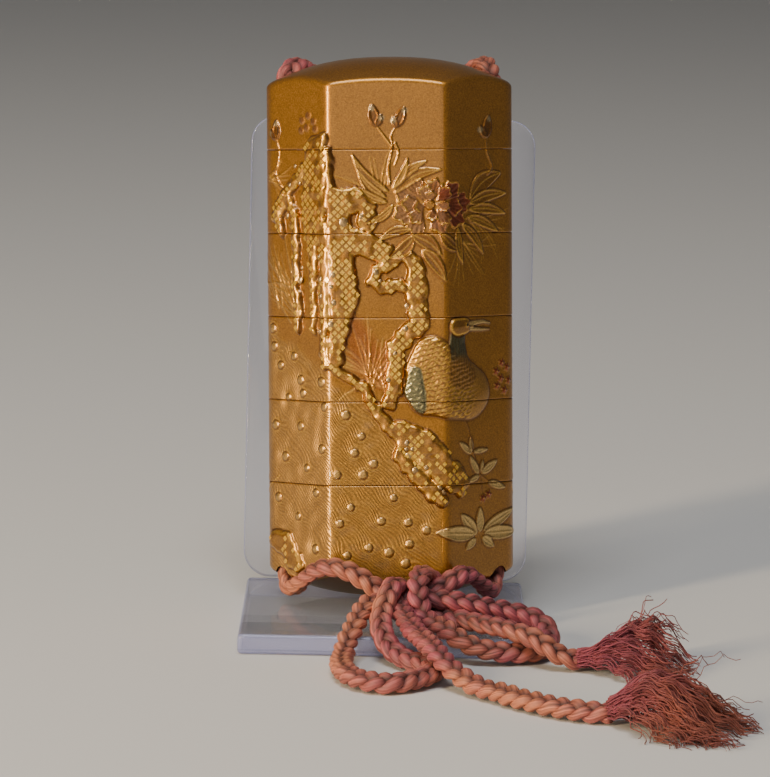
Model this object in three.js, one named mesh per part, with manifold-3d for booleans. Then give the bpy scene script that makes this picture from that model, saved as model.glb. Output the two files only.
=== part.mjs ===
// Lacquered inro: a lid and five stacking cases threaded on one braided silk cord, leaning on a clear
// acrylic stand. Millimetres, +Z up. The front faces -Y. The origin is on the table, at the bottom centre
// of the stand and inro together. The inro is drawn upright and then set on its stand, a little askew.
import * as THREE from 'three';
import { mergeVertices } from 'three/addons/utils/BufferGeometryUtils.js';
import Module from 'manifold-3d';

const wasm = await Module();
wasm.setup();

// ---- driving dimensions: the inro ----
const halfWidth = 20.5;         // widest, side to side
const halfDepth = 10.8;         // front face to back face
const halfFace = 9.8;           // front and back faces, corner to corner
const facetSide = 2.0;          // where each angled facet meets the rounded side, from the middle
const roundedSide = 0.9;        // how far the side bulges past that line
const domeRise = 4.6;           // crest above the side ends, on the lid and under the bottom case
const domeFront = 3.9;          // crest above the middle of the front edge
const domePower = 2.4;          // the dome is flat at its crest and falls away faster at the sides
const lidSide = 10.8;           // lid's height at the side, joint to dome
const casePitch = 13.86;        // one case, joint to joint
const bottomSide = 14.7;        // bottom case's height at the side
const jointGap = 0.3;
const lidWall = 1.8;            // thickness of the domed lid and floor
const caseFloor = 1.6;
const caseWall = 1.7;           // front and back walls of the hollows
const innerLimit = 13.4;        // the hollows end here, short of the cord's tunnels
const riserWall = 0.8;
const riserHeight = 2.2;        // the lip of each case that enters the piece above
const recessDepth = 2.5;
const cordwayX = 17.3;          // the cord's tunnel through each side
const cordwayRadius = 1.9;
const middleCases = ['case_second', 'case_third', 'case_fourth', 'case_top'];
const firstJoint = domeRise + bottomSide;
const lidJoint = firstJoint + middleCases.length * casePitch;
const inroHeight = lidJoint + lidSide + domeRise;

// ---- driving dimensions: the stand, and how the inro sits on it ----
const baseWidth = 47;
const baseFront = 40.9;         // base plate in front of the back plate's foot
const baseThick = 3.4;
const backWidth = 48.2;
const backHeight = 78.6;
const backThick = 2.6;
const backCorner = 4.5;
const restGap = 0.3;            // between touching pieces
const lean = THREE.MathUtils.degToRad(6.2);     // back plate and inro lean back
const tilt = THREE.MathUtils.degToRad(1.5);     // inro tips to the left in the plate's plane
const yaw = THREE.MathUtils.degToRad(2.0);      // inro turns its front a little to the left
const inroX = 1.26;             // foot of the inro, right of the stand's middle
const inroLift = 0.1;           // more than the gap under its foot, so that its tipped edge is clear

// ---- driving dimensions: the cord ----
const cordSolid = 2.2;          // the plain tube; the real braid is 3.6 and is squeezed in its bow
const cordSides = 8;

// ---- materials ----
const material = (color, roughness, metalness = 0, opacity = 1) =>
  new THREE.MeshStandardMaterial({ color, roughness, metalness, opacity, transparent: opacity < 1 });
const goldLacquer = () => material(0xa5742f, 0.38, 0.75);
const clearAcrylic = () => material(0xe8ecf2, 0.05, 0, 0.3);
const braidedSilk = () => material(0xb4685a, 0.6);

// ---- shared geometry ----

// A closed body through rings of points. Every ring has the same count, anticlockwise seen from above,
// and the rings run from the bottom pole to the top pole: a ring of one point is a pole.
function loft(rings) {
  const count = rings[1].length;
  const starts = [];
  const points = [];
  for (const ring of rings) {
    starts.push(points.length);
    points.push(...ring);
  }
  const faces = [];
  for (let level = 0; level + 1 < rings.length; level++) {
    for (let i = 0; i < count; i++) {
      const next = (i + 1) % count;
      const low = rings[level].length === 1 ? null : starts[level];
      const high = rings[level + 1].length === 1 ? null : starts[level + 1];
      if (low === null) faces.push(starts[level], high + next, high + i);
      else if (high === null) faces.push(low + i, low + next, starts[level + 1]);
      else faces.push(low + i, low + next, high + next, low + i, high + next, high + i);
    }
  }
  const geometry = new THREE.BufferGeometry().setFromPoints(points);
  geometry.setIndex(faces);
  return geometry;
}

function asSolid(geometry) {
  geometry.deleteAttribute('normal');
  geometry.deleteAttribute('uv');
  const merged = mergeVertices(geometry, 1e-4);
  const vertProperties = new Float32Array(merged.attributes.position.array);
  const triVerts = new Uint32Array(merged.index.array);
  return new wasm.Manifold(new wasm.Mesh({ numProp: 3, vertProperties, triVerts }));
}

function asGeometry(solid) {
  const cut = solid.getMesh();
  const geometry = new THREE.BufferGeometry();
  geometry.setAttribute('position', new THREE.BufferAttribute(new Float32Array(cut.vertProperties), 3));
  geometry.setIndex(new THREE.BufferAttribute(new Uint32Array(cut.triVerts), 1));
  geometry.computeVertexNormals();
  return geometry;
}

function mesh(name, geometry, finish) {
  const piece = new THREE.Mesh(geometry, finish);
  piece.name = name;
  return piece;
}

// ---- the inro's section: eight-sided, with rounded sides ----

// The outline at a given inset. Narrower outlines, for hollows, stop short of the cord's tunnels.
function section(inset, limit = halfWidth) {
  const run = new THREE.Vector2(halfWidth - roundedSide - halfFace, facetSide - halfDepth).normalize();
  const facet = -run.y * halfFace + run.x * halfDepth - inset;
  const sideX = Math.min(halfWidth - roundedSide, limit);
  const sideY = (facet + run.y * sideX) / run.x;
  const faceY = halfDepth - inset;
  const faceX = (facet - run.x * faceY) / -run.y;
  const bulge = sideX < halfWidth - roundedSide ? 0 : roundedSide;
  const quarter = [];
  const sideSteps = 3;
  for (let i = 0; i < sideSteps; i++) {
    const share = i / sideSteps;
    quarter.push([sideX + bulge * (1 - share * share), sideY * share]);
  }
  const facetSteps = 3;
  for (let i = 0; i < facetSteps; i++) {
    const share = i / facetSteps;
    quarter.push([sideX + (faceX - sideX) * share, sideY + (faceY - sideY) * share]);
  }
  const faceSteps = 3;
  for (let i = 0; i < faceSteps; i++) quarter.push([faceX * (1 - i / faceSteps), faceY]);
  const half = [...quarter, ...mirrored(quarter)];
  return [...half, ...half.map(([x, y]) => [-x, -y])];
}

// The second quarter of an outline, from the middle of the back round to the left side.
function mirrored(quarter) {
  const turned = quarter.slice(1).reverse().map(([x, y]) => [-x, y]);
  return [[0, quarter[quarter.length - 1][1]], ...turned];
}

// How far the dome has fallen below its crest at (x, y).
function domeFall(x, y) {
  return domeRise * (Math.abs(x) / halfWidth) ** domePower + domeFront * (y / halfDepth) ** 2;
}

const ringAt = (outline, z) => outline.map(([x, y]) => new THREE.Vector3(x, y, z));

// Rings of a dome over an outline, from its rim towards its crest. up is 1 for the lid, -1 for the floor.
function domeRings(outline, crest, up) {
  const shares = [1, 0.82, 0.6, 0.36, 0.16];
  const rings = shares.map((share) => outline.map(([x, y]) =>
    new THREE.Vector3(x * share, y * share, crest - up * domeFall(x * share, y * share))));
  return [...rings, [new THREE.Vector3(0, 0, crest)]];
}

const outer = section(0);
const inner = section(caseWall, innerLimit);
const riser = section(caseWall - riserWall, innerLimit + riserWall);
const recess = section(caseWall - riserWall - jointGap, innerLimit + riserWall + jointGap);

// The rings of a cup's open top: shoulder, riser and hollow, down to the hollow's floor.
function openTop(top) {
  return [ringAt(outer, top), ringAt(riser, top), ringAt(riser, top + riserHeight),
    ringAt(inner, top + riserHeight)];
}

function middleCase(z) {
  const top = z + casePitch - jointGap;
  const ceiling = z + recessDepth;
  const floor = ceiling + caseFloor;
  return loft([[new THREE.Vector3(0, 0, ceiling)], ringAt(recess, ceiling), ringAt(recess, z),
    ringAt(outer, z), ...openTop(top), ringAt(inner, floor), [new THREE.Vector3(0, 0, floor)]]);
}

function bottomCase() {
  const top = firstJoint - jointGap;
  const below = domeRings(outer, 0, -1).reverse();
  const floor = domeRings(inner, lidWall, -1);
  return loft([...below, ...openTop(top), ...floor]);
}

function lid() {
  const ceiling = domeRings(inner, inroHeight - lidWall, 1).reverse();
  const above = domeRings(outer, inroHeight, 1);
  return loft([...ceiling, ringAt(inner, lidJoint + recessDepth), ringAt(recess, lidJoint + recessDepth),
    ringAt(recess, lidJoint), ringAt(outer, lidJoint), ...above]);
}

// The cord's tunnels, with a mouth eased to the front under the inro and to the back over the lid.
function cordways() {
  const margin = 2;
  const sides = 14;
  const easing = new THREE.Vector3(2, 3, 4.2);
  const inward = 0.3;
  const forward = 0.7;
  const mouthFall = domeFall(cordwayX, 0);
  const tools = [];
  for (const side of [-1, 1]) {
    const tunnel = new THREE.CylinderGeometry(cordwayRadius, cordwayRadius, inroHeight + 2 * margin, sides);
    tunnel.rotateX(Math.PI / 2).translate(side * cordwayX, 0, inroHeight / 2);
    const lower = new THREE.SphereGeometry(1, sides, 8).scale(easing.x, easing.y, easing.z);
    const upper = lower.clone();
    lower.translate(side * (cordwayX - inward), -forward, mouthFall);
    upper.translate(side * (cordwayX - inward), forward, inroHeight - mouthFall);
    tools.push(asSolid(tunnel), asSolid(lower), asSolid(upper));
  }
  return tools.reduce((all, tool) => all.add(tool));
}

function makeInro() {
  const inro = new THREE.Group();
  const tunnels = cordways();
  const pierce = (geometry) => asGeometry(asSolid(geometry).subtract(tunnels));
  inro.add(mesh('case_bottom', pierce(bottomCase()), goldLacquer()));
  middleCases.forEach((name, i) => {
    inro.add(mesh(name, pierce(middleCase(firstJoint + i * casePitch)), goldLacquer()));
  });
  inro.add(mesh('lid', pierce(lid()), goldLacquer()));
  return inro;
}

// ---- the clear acrylic stand: a base plate and a leaning back plate ----

function plate(width, height, thickness, corner) {
  const shape = new THREE.Shape();
  const w = width / 2;
  shape.moveTo(-w + corner, 0).lineTo(w - corner, 0).absarc(w - corner, corner, corner, -Math.PI / 2, 0);
  shape.lineTo(w, height - corner).absarc(w - corner, height - corner, corner, 0, Math.PI / 2);
  shape.lineTo(-w + corner, height);
  shape.absarc(-w + corner, height - corner, corner, Math.PI / 2, Math.PI);
  shape.lineTo(-w, corner).absarc(-w + corner, corner, corner, Math.PI, 1.5 * Math.PI);
  return new THREE.ExtrudeGeometry(shape, { depth: thickness, bevelEnabled: false, curveSegments: 5 });
}

function makeStand() {
  const stand = new THREE.Group();
  const baseCorner = 0.8;
  const baseDepth = baseFront + backThick;
  const base = mesh('stand_base', plate(baseWidth, baseDepth, baseThick, baseCorner), clearAcrylic());
  base.position.y = -baseFront;
  const back = mesh('stand_back', plate(backWidth, backHeight, backThick, backCorner), clearAcrylic());
  back.geometry.rotateX(Math.PI / 2).translate(0, backThick, 0);
  back.rotation.x = -lean;
  back.position.z = baseThick + restGap + backThick * Math.sin(lean);
  stand.add(base, back);
  return stand;
}

// ---- the cord: over the lid, and its two ends tied in a bow in front ----

// A route whose steps fall on its own points, so the tube is finest where the points are closest.
class CordRoute extends THREE.CatmullRomCurve3 {
  getPointAt(share, target) {
    return this.getPoint(share, target);
  }

  getTangentAt(share, target) {
    return this.getTangent(share, target);
  }
}

function cordTube(name, points) {
  const route = new CordRoute(points.map((point) => new THREE.Vector3(...point)));
  const round = new THREE.Shape().absarc(0, 0, cordSolid / 2, 0, 2 * Math.PI);
  const geometry = new THREE.ExtrudeGeometry(round,
    { steps: points.length - 1, extrudePath: route, curveSegments: cordSides / 2, bevelEnabled: false });
  return mesh(name, geometry, braidedSilk());
}

// Up the left tunnel, back over the lid's shoulder, slack behind the lid on the plate's top edge. The
// points are the left half of the route, in the upright inro; the right half is its mirror image.
const overLidHalf = [[-17.3, 0, 10.4], [-17.3, 0, 30], [-17.3, 0, 50], [-17.3, 0, 70], [-17.3, 0, 82],
  [-17.2, 0.3, 85], [-16.8, 1.4, 87.5], [-15.8, 4.4, 88.9], [-14.2, 8.2, 88.5], [-12.1, 11.3, 86.9],
  [-9.4, 13.2, 84.4], [-6.2, 14.1, 82.6], [-3, 14.4, 81.7]];
const overLidRoute = [...overLidHalf, [0, 14.4, 81.4],
  ...overLidHalf.map(([x, y, z]) => [-x, y, z]).reverse()];

// The ends' first points, inside each tunnel's lower mouth, in the upright inro.
const mouthRoute = [[-17.3, 0, 9.6], [-17.3, -0.2, 6.4], [-17.1, -1.4, 3.4]];

// From the left mouth, up and round the knot as its band, out as the right loop, back through the knot
// and away as the front tail. Measured from the middle of the back plate's foot, on the table.
const leftEndRoute = [[-15.6, -14.4, 5.4], [-14.7, -17.8, 6.3], [-13.2, -20.8, 8.4], [-11.2, -23.6, 10.5],
  [-8.9, -25.4, 11.5], [-6.4, -26.4, 11.2], [-3.8, -27.4, 10.2], [-1.4, -28.2, 8.6], [1, -28.2, 6.7],
  [3.8, -27.6, 5.5], [6.6, -26.2, 5.6], [8.3, -25, 7.3], [8.4, -25.2, 9.4], [7, -26.8, 11],
  [5.9, -29.6, 11.5], [5.5, -32.4, 11], [5.5, -34.7, 9.3], [5.9, -35.9, 6.9], [7.2, -37.6, 5.4],
  [9, -40.2, 5.3], [11.2, -42.8, 4.5], [13.8, -44.2, 3.2], [17, -44.6, 2.4], [20.4, -44.2, 2.1],
  [23.6, -43, 1.9], [25.8, -40.4, 1.9], [26.9, -37, 2.2], [26.8, -33.8, 3.2], [25.2, -31.4, 4.6],
  [22.4, -30.2, 5.4], [19.2, -30.3, 5.9], [16, -31.2, 6.7], [12.9, -32, 7.4], [9.9, -32, 7.8],
  [7.3, -31.6, 7.9], [5, -31.4, 7.8], [3.2, -32.6, 7.5], [2.8, -35.4, 7], [3.6, -39.6, 6.1],
  [4.8, -44.4, 5.6], [6.3, -50, 5.3], [7.9, -55.4, 5.1], [9.5, -59.6, 4.2], [11.3, -62.2, 3],
  [13.6, -64.8, 2.1], [16.6, -68, 1.8], [20, -71.8, 1.8], [23.6, -75.4, 1.8], [27.4, -78.4, 1.8],
  [31, -80.2, 1.8], [34.6, -80.8, 1.9]];

// From the right mouth, behind the band, out as the left loop, which folds under the front tail, back
// through the knot and away as the rear tail. Measured in the same way.
const rightEndRoute = [[17.8, -15.6, 5.9], [16.9, -19, 6.9], [15.4, -22, 9], [13.6, -24.6, 10.6],
  [11.6, -26.8, 10.4], [9.4, -28.6, 9], [6.6, -29, 8.1], [4, -29.4, 8.4], [2.3, -31, 9.8],
  [1.3, -33.4, 10.2], [0.5, -35.8, 8.9], [-0.2, -37.6, 7.1], [-0.5, -40.2, 5.7], [-0.1, -43, 4.4],
  [0.9, -45, 2.8], [2.6, -47.4, 1.9], [4.6, -49.8, 1.8], [6.5, -51.8, 1.8], [8, -53.8, 1.8],
  [8.4, -56.4, 1.8], [7.1, -59.4, 1.8], [5, -62.2, 1.8], [2.4, -64.4, 1.8], [-0.5, -65, 1.8],
  [-3.2, -63.4, 1.8], [-5.2, -60, 1.8], [-6.4, -55.6, 1.8], [-6.6, -50.6, 1.8], [-6.1, -46, 2.3],
  [-5.4, -43, 4.1], [-4.4, -39.6, 5.6], [-3.2, -36.4, 7.1], [-1.8, -33.8, 7.7], [0.2, -32.2, 6.7],
  [2.6, -31, 5.6], [5.4, -30.6, 5.2], [8.4, -31.6, 5.2], [11.6, -34, 5.2], [14.8, -36.8, 5.2],
  [17.8, -39.8, 5.3], [20.6, -42.6, 5.4], [23.2, -45, 5.1], [25.4, -46.6, 4.2], [27.4, -47.3, 3],
  [29.4, -47.4, 2.1], [31.2, -47.2, 1.8]];

// A frayed end's outer shape: [distance from the root, half width, half height], lying on the table.
function tassel(name, root, heading, sizes) {
  const sides = 10;
  const clearance = 0.15;
  const across = new THREE.Vector3(-Math.sin(heading), Math.cos(heading), 0);
  const rings = sizes.map(([reach, width, height]) => {
    const middle = new THREE.Vector3(root[0] + reach * Math.cos(heading),
      root[1] + reach * Math.sin(heading), height + clearance);
    return Array.from({ length: sides }, (_, i) => {
      const angle = (2 * Math.PI * i) / sides;
      const point = middle.clone().addScaledVector(across, width * Math.cos(angle));
      return point.setZ(middle.z + height * Math.sin(angle));
    });
  });
  const centreOf = (ring) => [ring.reduce((sum, point) => sum.add(point), new THREE.Vector3())
    .divideScalar(ring.length)];
  return mesh(name, loft([centreOf(rings[0]), ...rings, centreOf(rings[rings.length - 1])]), braidedSilk());
}

// ---- the assembly ----

const foot = new THREE.Group();
foot.add(makeStand());

const inro = makeInro();
inro.add(cordTube('cord_over_lid', overLidRoute));
inro.rotation.set(-lean, -tilt, -yaw, 'XYZ');
const backReach = halfDepth * Math.cos(yaw) + halfFace * Math.sin(yaw);
inro.position.set(inroX, -(backReach + restGap) * Math.cos(lean), baseThick + restGap + inroLift);
foot.add(inro);
inro.updateMatrix();

const placed = (points) => points.map(([x, y, z]) =>
  new THREE.Vector3(x, y, z).applyMatrix4(inro.matrix).toArray());
const rightMouth = mouthRoute.map(([x, y, z]) => [-x, y, z]);
foot.add(cordTube('cord_left_end', [...placed(mouthRoute), ...leftEndRoute]));
foot.add(cordTube('cord_right_end', [...placed(rightMouth), ...rightEndRoute]));
foot.add(tassel('tassel_front', [35.2, -80.8], -0.15,
  [[0, 1.5, 1.7], [3.5, 3.6, 3], [9, 7.5, 4.2], [15, 10, 3.6], [20.5, 9, 1.8]]));
foot.add(tassel('tassel_rear', [31.8, -47.2], 0,
  [[0, 1.5, 1.7], [3, 3.4, 2.8], [7.5, 6.5, 3.9], [12.5, 8.5, 3.2], [17, 7.5, 1.6]]));

// The origin: bottom centre of stand and inro, whose depth runs from the base's front edge to the back
// plate's top edge.
const backReachTop = backHeight * Math.sin(lean) + backThick * Math.cos(lean);
foot.position.y = (baseFront - backReachTop) / 2;

const display = new THREE.Group();
display.add(foot);
export default display;
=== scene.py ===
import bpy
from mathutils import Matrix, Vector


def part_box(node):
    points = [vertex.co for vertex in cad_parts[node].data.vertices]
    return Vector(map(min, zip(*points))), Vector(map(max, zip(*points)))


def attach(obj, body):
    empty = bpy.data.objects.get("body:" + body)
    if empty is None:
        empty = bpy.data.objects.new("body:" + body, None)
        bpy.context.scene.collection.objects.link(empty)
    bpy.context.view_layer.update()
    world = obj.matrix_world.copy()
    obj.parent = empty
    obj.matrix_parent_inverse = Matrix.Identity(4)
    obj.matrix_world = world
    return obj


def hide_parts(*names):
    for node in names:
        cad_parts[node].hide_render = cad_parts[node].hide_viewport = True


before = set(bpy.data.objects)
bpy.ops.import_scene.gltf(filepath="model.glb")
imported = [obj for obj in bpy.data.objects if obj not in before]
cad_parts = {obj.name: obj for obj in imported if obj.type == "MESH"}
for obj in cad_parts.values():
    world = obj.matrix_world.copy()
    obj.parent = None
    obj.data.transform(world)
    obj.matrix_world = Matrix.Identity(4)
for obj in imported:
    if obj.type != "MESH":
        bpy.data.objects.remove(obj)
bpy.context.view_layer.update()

import math

import bmesh
import bpy
import numpy as np
from mathutils import Matrix, Vector

# ==== The view ====
# A long lens stands a little above the table and looks slightly down at the front of the inro, from far
# enough off that its upright edges stay nearly parallel. It is rolled by about a degree.
MM = 0.001
lens = bpy.data.cameras.new("studio_lens")
lens.lens = 185.88
lens.sensor_width = 36
lens.clip_start, lens.clip_end = 0.05, 20
camera = bpy.data.objects.new("studio_camera", lens)
pitch, roll = math.radians(9.68), math.radians(1.208)
ahead = Vector((0, math.cos(pitch), -math.sin(pitch)))
level, upward = Vector((1, 0, 0)), Vector((0, math.sin(pitch), math.cos(pitch)))
right = level * math.cos(roll) + upward * math.sin(roll)
above = upward * math.cos(roll) - level * math.sin(roll)
camera_place = Vector((-0.56, -655.19, 151.3)) * MM
camera.matrix_world = (Matrix.Translation(camera_place)
                       @ Matrix((right, above, -ahead)).transposed().to_4x4())
bpy.context.collection.objects.link(camera)
bpy.context.scene.camera = camera

# ==== The cord ====
# One braided silk cord holds the inro together. It runs up a tunnel in each side and over the lid, and
# its two ends come forward under the inro, are tied in a bow and lie on the table. Silk, dyed a
# pinkish terracotta that has faded unevenly; three slack strands are plaited flat, 3.6 mm wide.
front_to_foot = 40.9                                # from the base plate's front to the back plate's foot
foot_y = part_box("stand_base")[0][1] / MM + front_to_foot
base_top = 3.4                                      # the base plate's top
lean = math.radians(6.2)                            # of the back plate, and of the inro against it


def on_foot(points):
    """Points measured from the middle of the back plate's foot, on the table, in mm."""
    return np.array(points, float) + [0, foot_y, 0]


inro_place = (Matrix.Translation((1.26, foot_y - 11.368, base_top + 0.4))
              @ Matrix.Rotation(-lean, 4, "X") @ Matrix.Rotation(math.radians(-1.5), 4, "Y")
              @ Matrix.Rotation(math.radians(-2.0), 4, "Z"))


def in_inro(points):
    """Points measured in the upright inro, from the lowest point of its domed foot, in mm."""
    turn = np.array(inro_place)
    return np.array(points, float) @ turn[:3, :3].T + turn[:3, 3]


over_lid_half = [(-17.3, 0, 10.4), (-17.3, 0, 30), (-17.3, 0, 50), (-17.3, 0, 70), (-17.3, 0, 82),
                 (-17.2, 0.3, 85), (-16.8, 1.4, 87.5), (-15.8, 4.4, 88.9), (-14.2, 8.2, 88.5),
                 (-12.1, 11.3, 86.9), (-9.4, 13.2, 84.4), (-6.2, 14.1, 82.6), (-3, 14.4, 81.7)]
over_lid_route = [*over_lid_half, (0, 14.4, 81.4), *[(-x, y, z) for x, y, z in over_lid_half[::-1]]]
mouth_route = [(-17.3, 0, 9.6), (-17.3, -0.2, 6.4), (-17.1, -1.4, 3.4)]
left_end_route = [
    (-15.6, -14.4, 5.4), (-14.7, -17.8, 6.3), (-13.2, -20.8, 8.4), (-11.2, -23.6, 10.5),
    (-8.9, -25.4, 11.5), (-6.4, -26.4, 11.2), (-3.8, -27.4, 10.2), (-1.4, -28.2, 8.6), (1, -28.2, 6.7),
    (3.8, -27.6, 5.5), (6.6, -26.2, 5.6), (8.3, -25, 7.3), (8.4, -25.2, 9.4), (7, -26.8, 11),
    (5.9, -29.6, 11.5), (5.5, -32.4, 11), (5.5, -34.7, 9.3), (5.9, -35.9, 6.9), (7.2, -37.6, 5.4),
    (9, -40.2, 5.3), (11.2, -42.8, 4.5), (13.8, -44.2, 3.2), (17, -44.6, 2.4), (20.4, -44.2, 2.1),
    (23.6, -43, 1.9), (25.8, -40.4, 1.9), (26.9, -37, 2.2), (26.8, -33.8, 3.2), (25.2, -31.4, 4.6),
    (22.4, -30.2, 5.4), (19.2, -30.3, 5.9), (16, -31.2, 6.7), (12.9, -32, 7.4), (9.9, -32, 7.8),
    (7.3, -31.6, 7.9), (5, -31.4, 7.8), (3.2, -32.6, 7.5), (2.8, -35.4, 7), (3.6, -39.6, 6.1),
    (4.8, -44.4, 5.6), (6.3, -50, 5.3), (7.9, -55.4, 5.1), (9.5, -59.6, 4.2), (11.3, -62.2, 3),
    (13.6, -64.8, 2.1), (16.6, -68, 1.8), (20, -71.8, 1.8), (23.6, -75.4, 1.8), (27.4, -78.4, 1.8),
    (31, -80.2, 1.8), (34.6, -80.8, 1.9)]
right_end_route = [
    (17.8, -15.6, 5.9), (16.9, -19, 6.9), (15.4, -22, 9), (13.6, -24.6, 10.6), (11.6, -26.8, 10.4),
    (9.4, -28.6, 9), (6.6, -29, 8.1), (4, -29.4, 8.4), (2.3, -31, 9.8), (1.3, -33.4, 10.2),
    (0.5, -35.8, 8.9), (-0.2, -37.6, 7.1), (-0.5, -40.2, 5.7), (-0.1, -43, 4.4), (0.9, -45, 2.8),
    (2.6, -47.4, 1.9), (4.6, -49.8, 1.8), (6.5, -51.8, 1.8), (8, -53.8, 1.8), (8.4, -56.4, 1.8),
    (7.1, -59.4, 1.8), (5, -62.2, 1.8), (2.4, -64.4, 1.8), (-0.5, -65, 1.8), (-3.2, -63.4, 1.8),
    (-5.2, -60, 1.8), (-6.4, -55.6, 1.8), (-6.6, -50.6, 1.8), (-6.1, -46, 2.3), (-5.4, -43, 4.1),
    (-4.4, -39.6, 5.6), (-3.2, -36.4, 7.1), (-1.8, -33.8, 7.7), (0.2, -32.2, 6.7), (2.6, -31, 5.6),
    (5.4, -30.6, 5.2), (8.4, -31.6, 5.2), (11.6, -34, 5.2), (14.8, -36.8, 5.2), (17.8, -39.8, 5.3),
    (20.6, -42.6, 5.4), (23.2, -45, 5.1), (25.4, -46.6, 4.2), (27.4, -47.3, 3), (29.4, -47.4, 2.1),
    (31.2, -47.2, 1.8)]
right_mouth_route = [(-x, y, z) for x, y, z in mouth_route]


def smooth_line(points, spacing):
    """A smooth curve through the points, cut into even steps of about this spacing."""
    points = np.array(points, float)
    ends = np.vstack([2 * points[0] - points[1], points, 2 * points[-1] - points[-2]])
    cuts = 24                                       # between one point and the next
    share = np.linspace(0, 1, cuts, endpoint=False)[:, None]
    spans = []
    for a, b, c, d in zip(ends, ends[1:], ends[2:], ends[3:]):
        spans.append(0.5 * (2 * b + (c - a) * share + (2 * a - 5 * b + 4 * c - d) * share ** 2
                            + (3 * b - a - 3 * c + d) * share ** 3))
    fine = np.vstack(spans + [points[-1:]])
    walked = np.concatenate([[0], np.cumsum(np.linalg.norm(np.diff(fine, axis=0), axis=1))])
    even = np.linspace(0, walked[-1], max(2, round(walked[-1] / spacing)) + 1)
    return np.stack([np.interp(even, walked, fine[:, axis]) for axis in range(3)], axis=1), even


def bell(reach):
    """Weights that ease a line over this many steps to either side. They add up to one."""
    weights = np.exp(-np.linspace(-2, 2, 2 * reach + 1) ** 2)
    return weights / weights.sum()


def eased_line(line, reach):
    """The line with its sharper turns eased over this many steps. Its ends stay where they are."""
    longer = np.vstack([2 * line[0] - line[reach:0:-1], line, 2 * line[-1] - line[-2:-reach - 2:-1]])
    return np.stack([np.convolve(longer[:, axis], bell(reach), mode="valid") for axis in range(3)], 1)


def unit(vectors):
    """The vectors at a length of one."""
    return vectors / np.maximum(np.linalg.norm(vectors, axis=-1, keepdims=True), 1e-12)


def side_frames(line, facing):
    """Two directions across a line: one turned towards facing where it can be, and one square to it."""
    heading = unit(np.gradient(line, axis=0))
    carried = np.cross(heading[0], [0.3, 0.5, 0.8])     # any direction will do to start with
    carry = []
    for onward in heading:
        carried = unit(carried - onward * (carried @ onward))
        carry.append(carried)
    carry = np.array(carry)
    other = np.cross(heading, carry)
    wanted = facing - heading * (heading @ facing)[:, None]
    turn = (np.sum(wanted * carry, 1) + 1j * np.sum(wanted * other, 1)) ** 2
    twist_reach = 18
    turn = np.convolve(np.pad(turn, twist_reach, mode="edge"), bell(twist_reach), mode="valid")
    angle = np.unwrap(np.angle(turn)) / 2
    depth = carry * np.cos(angle)[:, None] + other * np.sin(angle)[:, None]
    return depth, np.cross(heading, depth)


def ring_quads(first, rings, sides):
    """Faces between rings of points that follow each other, from the first ring's first point on.

    They face outwards where the rings run anticlockwise as seen from the last one.
    """
    low = first + np.arange(rings - 1)[:, None] * sides + np.arange(sides)
    after = first + np.arange(rings - 1)[:, None] * sides + (np.arange(sides) + 1) % sides
    return np.stack([low, after, after + sides, low + sides], -1).reshape(-1, 4)


def mesh_piece(name, points, faces):
    """A new object at the origin with this mesh. The points are in mm."""
    mesh = bpy.data.meshes.new(name)
    mesh.from_pydata((np.array(points, float) * MM).tolist(), [], faces)
    piece = bpy.data.objects.new(name, mesh)
    bpy.context.collection.objects.link(piece)
    return piece


def tube_mesh(name, tubes):
    """One mesh of closed tubes. Each tube gives rings of points, how shaded they are, and their places.

    The rings run clockwise as seen from the tube's far end, so the faces between them are turned over.
    """
    points, faces, shades, uvs = [], [], [], []
    for rings, shade, places in tubes:
        start = sum(len(done) for done in points)
        steps, sides = rings.shape[:2]
        last = start + (steps - 1) * sides
        points.append(rings.reshape(-1, 3))
        shades.append(shade.reshape(-1))
        faces += ring_quads(start, steps, sides)[:, [0, 3, 2, 1]].tolist()
        faces += [list(range(start, start + sides)), list(range(last + sides - 1, last - 1, -1))]
        u_low = np.broadcast_to(np.arange(sides) / sides, (steps - 1, sides))
        u_high = u_low + 1 / sides
        v_low = np.broadcast_to(places[:-1, None], (steps - 1, sides))
        v_high = np.broadcast_to(places[1:, None], (steps - 1, sides))
        uvs.append(np.stack([u_low, v_low, u_low, v_high, u_high, v_high, u_high, v_low], -1).reshape(-1, 2))
        uvs += [np.tile([0.5, places[0]], (sides, 1)), np.tile([0.5, places[-1]], (sides, 1))]
    piece = mesh_piece(name, np.vstack(points), faces)
    strand = piece.data.uv_layers.new(name="strand")
    strand.uv.foreach_set("vector", np.vstack(uvs).astype(np.float32).ravel())
    # Each point's painted shade is kept for the shader.
    crevice_shade_layer = piece.data.attributes.new("painted_crevice_shade", "FLOAT", "POINT")
    crevice_shade_layer.data.foreach_set("value", np.concatenate(shades).astype(np.float32))
    piece.data.shade_smooth()
    return piece


def ring_of(middles, across, depth, wide, deep, sides):
    """Rings of points round a line. wide and deep hold each ring's half width and half depth."""
    turn = 2 * math.pi * np.arange(sides) / sides
    return (middles[:, None] + depth[:, None] * (deep[:, None] * np.sin(turn))[..., None]
            + across[:, None] * (wide[:, None] * np.cos(turn))[..., None])


plait_period, plait_sway, plait_depth, strand_radius = 7.8, 0.92, 0.5, 0.95
plait_spacing, knot_easing = 0.42, 8                # mm between rings, and rings that a turn is eased over
strand_wide, strand_deep, strand_sides = 1.04, 0.86, 10
crevice_reach, crevice_fade = 1.0, 0.62             # mm from the cord's middle: fully shaded, then clearing
to_viewer = np.array([0, -0.5, 0.87])


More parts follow.
